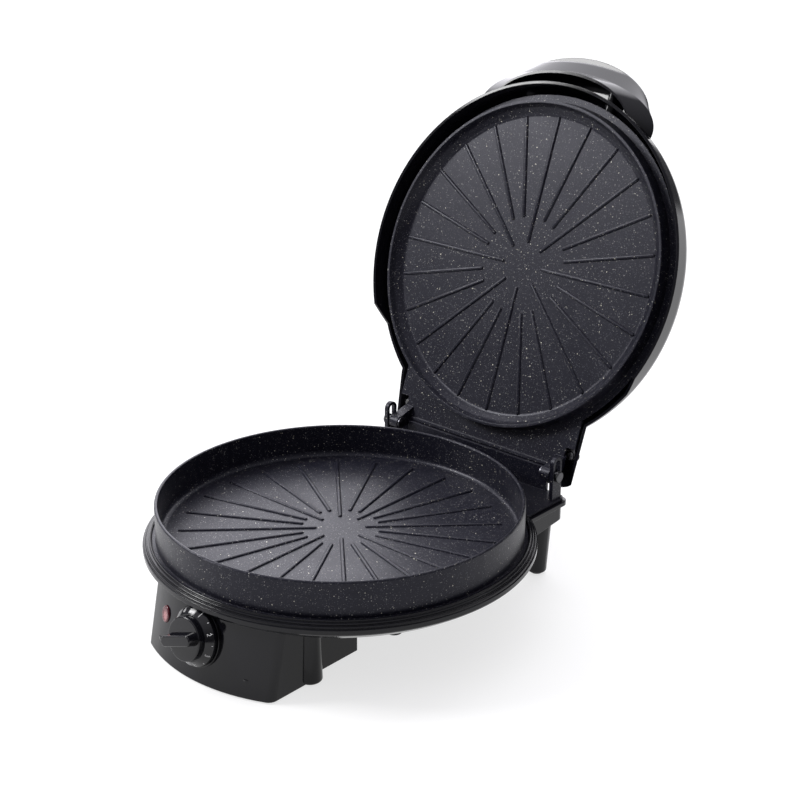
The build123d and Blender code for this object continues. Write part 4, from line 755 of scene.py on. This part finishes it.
# %% Dial ring
knob_across = Vector((1.0, 0.0, 0.0))
knob_up = knob_out.cross(knob_across)
knob_turned = Matrix((knob_across, knob_up, knob_out)).transposed().to_4x4()
knob_place = Matrix.Translation(knob_at) @ knob_turned
RING_R = 24.5 * MM
RING_LOW = 1.7 * MM
RING_SIDE = 3.0 * MM
RING_CONE = 5.3 * MM
CONE_LEAN = math.radians(43.0)
HUB_R = 5.95 * MM
ring_top = RING_LOW + RING_SIDE + RING_CONE
cone_top_r = RING_R - RING_CONE * math.tan(CONE_LEAN)
POCKET_R = 12.0 * MM
POCKET_TOP = 5.0 * MM
ring_outline = [
    (HUB_R, POCKET_TOP, 0.0),
    (POCKET_R, POCKET_TOP, 0.0),
    (POCKET_R, RING_LOW, 0.0),
    (RING_R, RING_LOW, 0.3 * MM),
    (RING_R, RING_LOW + RING_SIDE, 0.6 * MM),
    (cone_top_r, ring_top, 0.4 * MM),
    (HUB_R, ring_top, 0.0),
]
dial_ring = finish_mesh(turn_outline(round_corners(ring_outline)), "dial_ring", knob_place)
sharpen(dial_ring)
dial_ring.data.materials.append(finishes["knob_black"])
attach(dial_ring, "knob")
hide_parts("knob_skirt")
print("dial ring", len(dial_ring.data.polygons), "faces")

# %% [markdown]
# ## Numbers and ticks
# The numbers are plain text objects made into meshes and then wrapped on the cone: a point's height on
# the page becomes a distance down the slope, and its width becomes an angle. The ticks repeat at one
# step, so the tree that turned the ribs turns one bar about the knob's axis.

# %% Numbers
NUMBERS = "012345"
NUMBER_START = 119.0
NUMBER_STEP = -47.0
NUMBER_HEIGHT = 3.6 * MM
HEIGHT_OF_SIZE = 0.7
STROKE_GROWTH = 0.05 * MM
INK_HEIGHT = 0.06 * MM
slope_length = RING_CONE / math.cos(CONE_LEAN)
number_r = (RING_R + cone_top_r) / 2


def on_cone(x, y, z, angle):
    """The point of the dial at this place on the page, seen from the middle of a number."""
    turn = math.radians(angle) - x / number_r
    radius = number_r + y * math.sin(CONE_LEAN) + z * math.cos(CONE_LEAN)
    height = RING_LOW + RING_SIDE + RING_CONE / 2 - y * math.cos(CONE_LEAN) + z * math.sin(CONE_LEAN)
    return Vector((radius * math.cos(turn), radius * math.sin(turn), height))


def printed(name, shapes):
    """One white object from pairs of a flat bmesh in page coordinates and its angle on the dial."""
    whole = bmesh.new()
    for work, angle in shapes:
        for vert in work.verts:
            vert.co = on_cone(*vert.co, angle)
        part = bpy.data.meshes.new("part_of_print")
        work.to_mesh(part)
        work.free()
        whole.from_mesh(part)
        bpy.data.meshes.remove(part)
    piece = finish_mesh(whole, name, knob_place)
    piece.data.materials.append(finishes["dial_white"])
    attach(piece, "knob")
    return piece


def number_shape(text):
    """A number as a thin closed bmesh, centred on the page."""
    curve = bpy.data.curves.new("number", "FONT")
    curve.body = text
    curve.size = NUMBER_HEIGHT / HEIGHT_OF_SIZE
    curve.align_x = "CENTER"
    curve.align_y = "CENTER"
    curve.extrude = INK_HEIGHT
    curve.offset = STROKE_GROWTH
    curve.resolution_u = 4
    holder = bpy.data.objects.new("number", curve)
    bpy.context.scene.collection.objects.link(holder)
    mesh = plain_mesh(holder)
    work = bmesh.new()
    work.from_mesh(mesh)
    bpy.data.objects.remove(holder)
    bpy.data.curves.remove(curve)
    bpy.data.meshes.remove(mesh)
    return work


number_angles = [NUMBER_START + NUMBER_STEP * index for index in range(len(NUMBERS))]
number_shapes = [number_shape(text) for text in NUMBERS]
dial_numbers = printed("dial_numbers", zip(number_shapes, number_angles))
print("dial numbers", len(dial_numbers.data.vertices), "vertices")

# %% Ticks
TICK_LENGTH = 1.5 * MM
TICK_WIDTH = 0.55 * MM
TICK_INSET = 0.5 * MM
TICKS_PER_NUMBER = 2


def page_bar(x0, x1, y0, y1, columns=1):
    """A thin closed bar on the dial's flat page, cut into columns so that it can bend."""
    work = bmesh.new()
    grid = bmesh.ops.create_grid(work, x_segments=columns, y_segments=1, size=0.5)["verts"]
    for vert in grid:
        x = x0 + (vert.co.x + 0.5) * (x1 - x0)
        y = y0 + (vert.co.y + 0.5) * (y1 - y0)
        vert.co = Vector((x, y, INK_HEIGHT))
    lifted = bmesh.ops.extrude_face_region(work, geom=work.faces[:])["geom"]
    for item in lifted:
        if isinstance(item, bmesh.types.BMVert):
            item.co.z = -INK_HEIGHT
    return work


tick_end = slope_length / 2 - TICK_INSET
tick = page_bar(-TICK_WIDTH / 2, TICK_WIDTH / 2, tick_end - TICK_LENGTH, tick_end)
for vert in tick.verts:
    vert.co = on_cone(*vert.co, 0.0)
tick_step = NUMBER_STEP / TICKS_PER_NUMBER
tick_count = TICKS_PER_NUMBER * (len(NUMBERS) - 1) + 1
dial_ticks = ring_of_copies(
    "dial_ticks", finish_mesh(tick, "tick"), tick_count, NUMBER_START, tick_step,
    finishes["dial_white"], knob_place,
)
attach(dial_ticks, "knob")
print("ticks", tick_count)

# %% Blocks that mark the ends of the heat range
BLOCK_ANGLES = (94.0, -88.0)
BLOCK_HALF = 3.4 * MM
BLOCK_LOW = -2.4 * MM
BLOCK_HIGH = 2.2 * MM
BLOCK_COLUMNS = 6
blocks = [page_bar(-BLOCK_HALF, BLOCK_HALF, BLOCK_LOW, BLOCK_HIGH, BLOCK_COLUMNS) for _ in BLOCK_ANGLES]
dial_blocks = printed("dial_blocks", zip(blocks, BLOCK_ANGLES))
print("blocks at", BLOCK_ANGLES, "degrees")

# %% [markdown]
# ## The cap and its grip
# The cap is a turned disc with a straight grip across it. The grip is a stack of rounded outlines that
# draw in towards the top, with the last few closing in an arc, and a boolean joins the two into one
# skin, as they come out of one mould.

# %% Cap and grip
CAP_R = 18.4 * MM
CAP_TOP = 15.6 * MM
CAP_ROUND = 1.0 * MM
GRIP_TURN = math.radians(20.0)
GRIP_TOP = 25.0 * MM
GRIP_FOOT = (17.6 * MM, 6.4 * MM)
GRIP_HEAD = (17.0 * MM, 4.4 * MM)
GRIP_ROUND = 1.0 * MM
GRIP_SUNK = 1.0 * MM
GRIP_END_STEPS = 14
GRIP_SIDE_STEPS = 8
GRIP_ROUND_STEPS = 6
cap_outline = [
    (0.0, ring_top, 0.0),
    (CAP_R, ring_top, 0.0),
    (CAP_R, CAP_TOP, CAP_ROUND),
    (0.0, CAP_TOP, 0.0),
]
cap = finish_mesh(turn_outline(round_corners(cap_outline)), "knob_cap_and_grip")


def grip_outline(half_length, half_width, height):
    """A long outline with round ends at one height, turned as the grip stands at rest."""
    points = []
    for side in (1, -1):
        for step in range(GRIP_END_STEPS + 1):
            angle = math.pi * (step / GRIP_END_STEPS - 0.5)
            x = side * (half_length - half_width + half_width * math.cos(angle))
            y = side * half_width * math.sin(angle)
            points.append(Matrix.Rotation(GRIP_TURN, 3, "Z") @ Vector((x, y, height)))
    return points


def grip_levels():
    """Each level of the grip: its share of the way from foot to head, its inset and its height."""
    foot = ring_top + GRIP_SUNK
    shoulder = GRIP_TOP - GRIP_ROUND
    for step in range(GRIP_SIDE_STEPS + 1):
        share = step / GRIP_SIDE_STEPS
        yield share, 0.0, foot + (shoulder - foot) * share
    for step in range(1, GRIP_ROUND_STEPS + 1):
        angle = math.pi / 2 * step / GRIP_ROUND_STEPS
        yield 1.0, GRIP_ROUND * (1 - math.cos(angle)), shoulder + GRIP_ROUND * math.sin(angle)


def make_grip():
    """The grip as a closed stack of outlines."""
    work = bmesh.new()
    rings = []
    for share, inset, height in grip_levels():
        half_length = GRIP_FOOT[0] + (GRIP_HEAD[0] - GRIP_FOOT[0]) * share - inset
        half_width = GRIP_FOOT[1] + (GRIP_HEAD[1] - GRIP_FOOT[1]) * share - inset
        outline = grip_outline(half_length, half_width, height)
        rings.append([work.verts.new(point) for point in outline])
    for lower, upper in zip(rings, rings[1:]):
        for index in range(len(lower)):
            work.faces.new((lower[index - 1], lower[index], upper[index], upper[index - 1]))
    work.faces.new(rings[0])
    work.faces.new(rings[-1])
    return finish_mesh(work, "grip")


# %% Join the grip to the cap
grip = make_grip()
union = cap.modifiers.new("union", "BOOLEAN")
union.operation = "UNION"
union.solver = "EXACT"
union.object = grip
joined = plain_mesh(cap)
cap.modifiers.remove(union)
cap.data = joined
bpy.data.objects.remove(grip)
cap.data.transform(knob_place)
cap.data.shade_smooth()
sharpen(cap)
cap.data.materials.clear()
cap.data.materials.append(finishes["knob_black"])
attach(cap, "knob")
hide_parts("knob_cap")
print("cap and grip", len(cap.data.polygons), "faces")
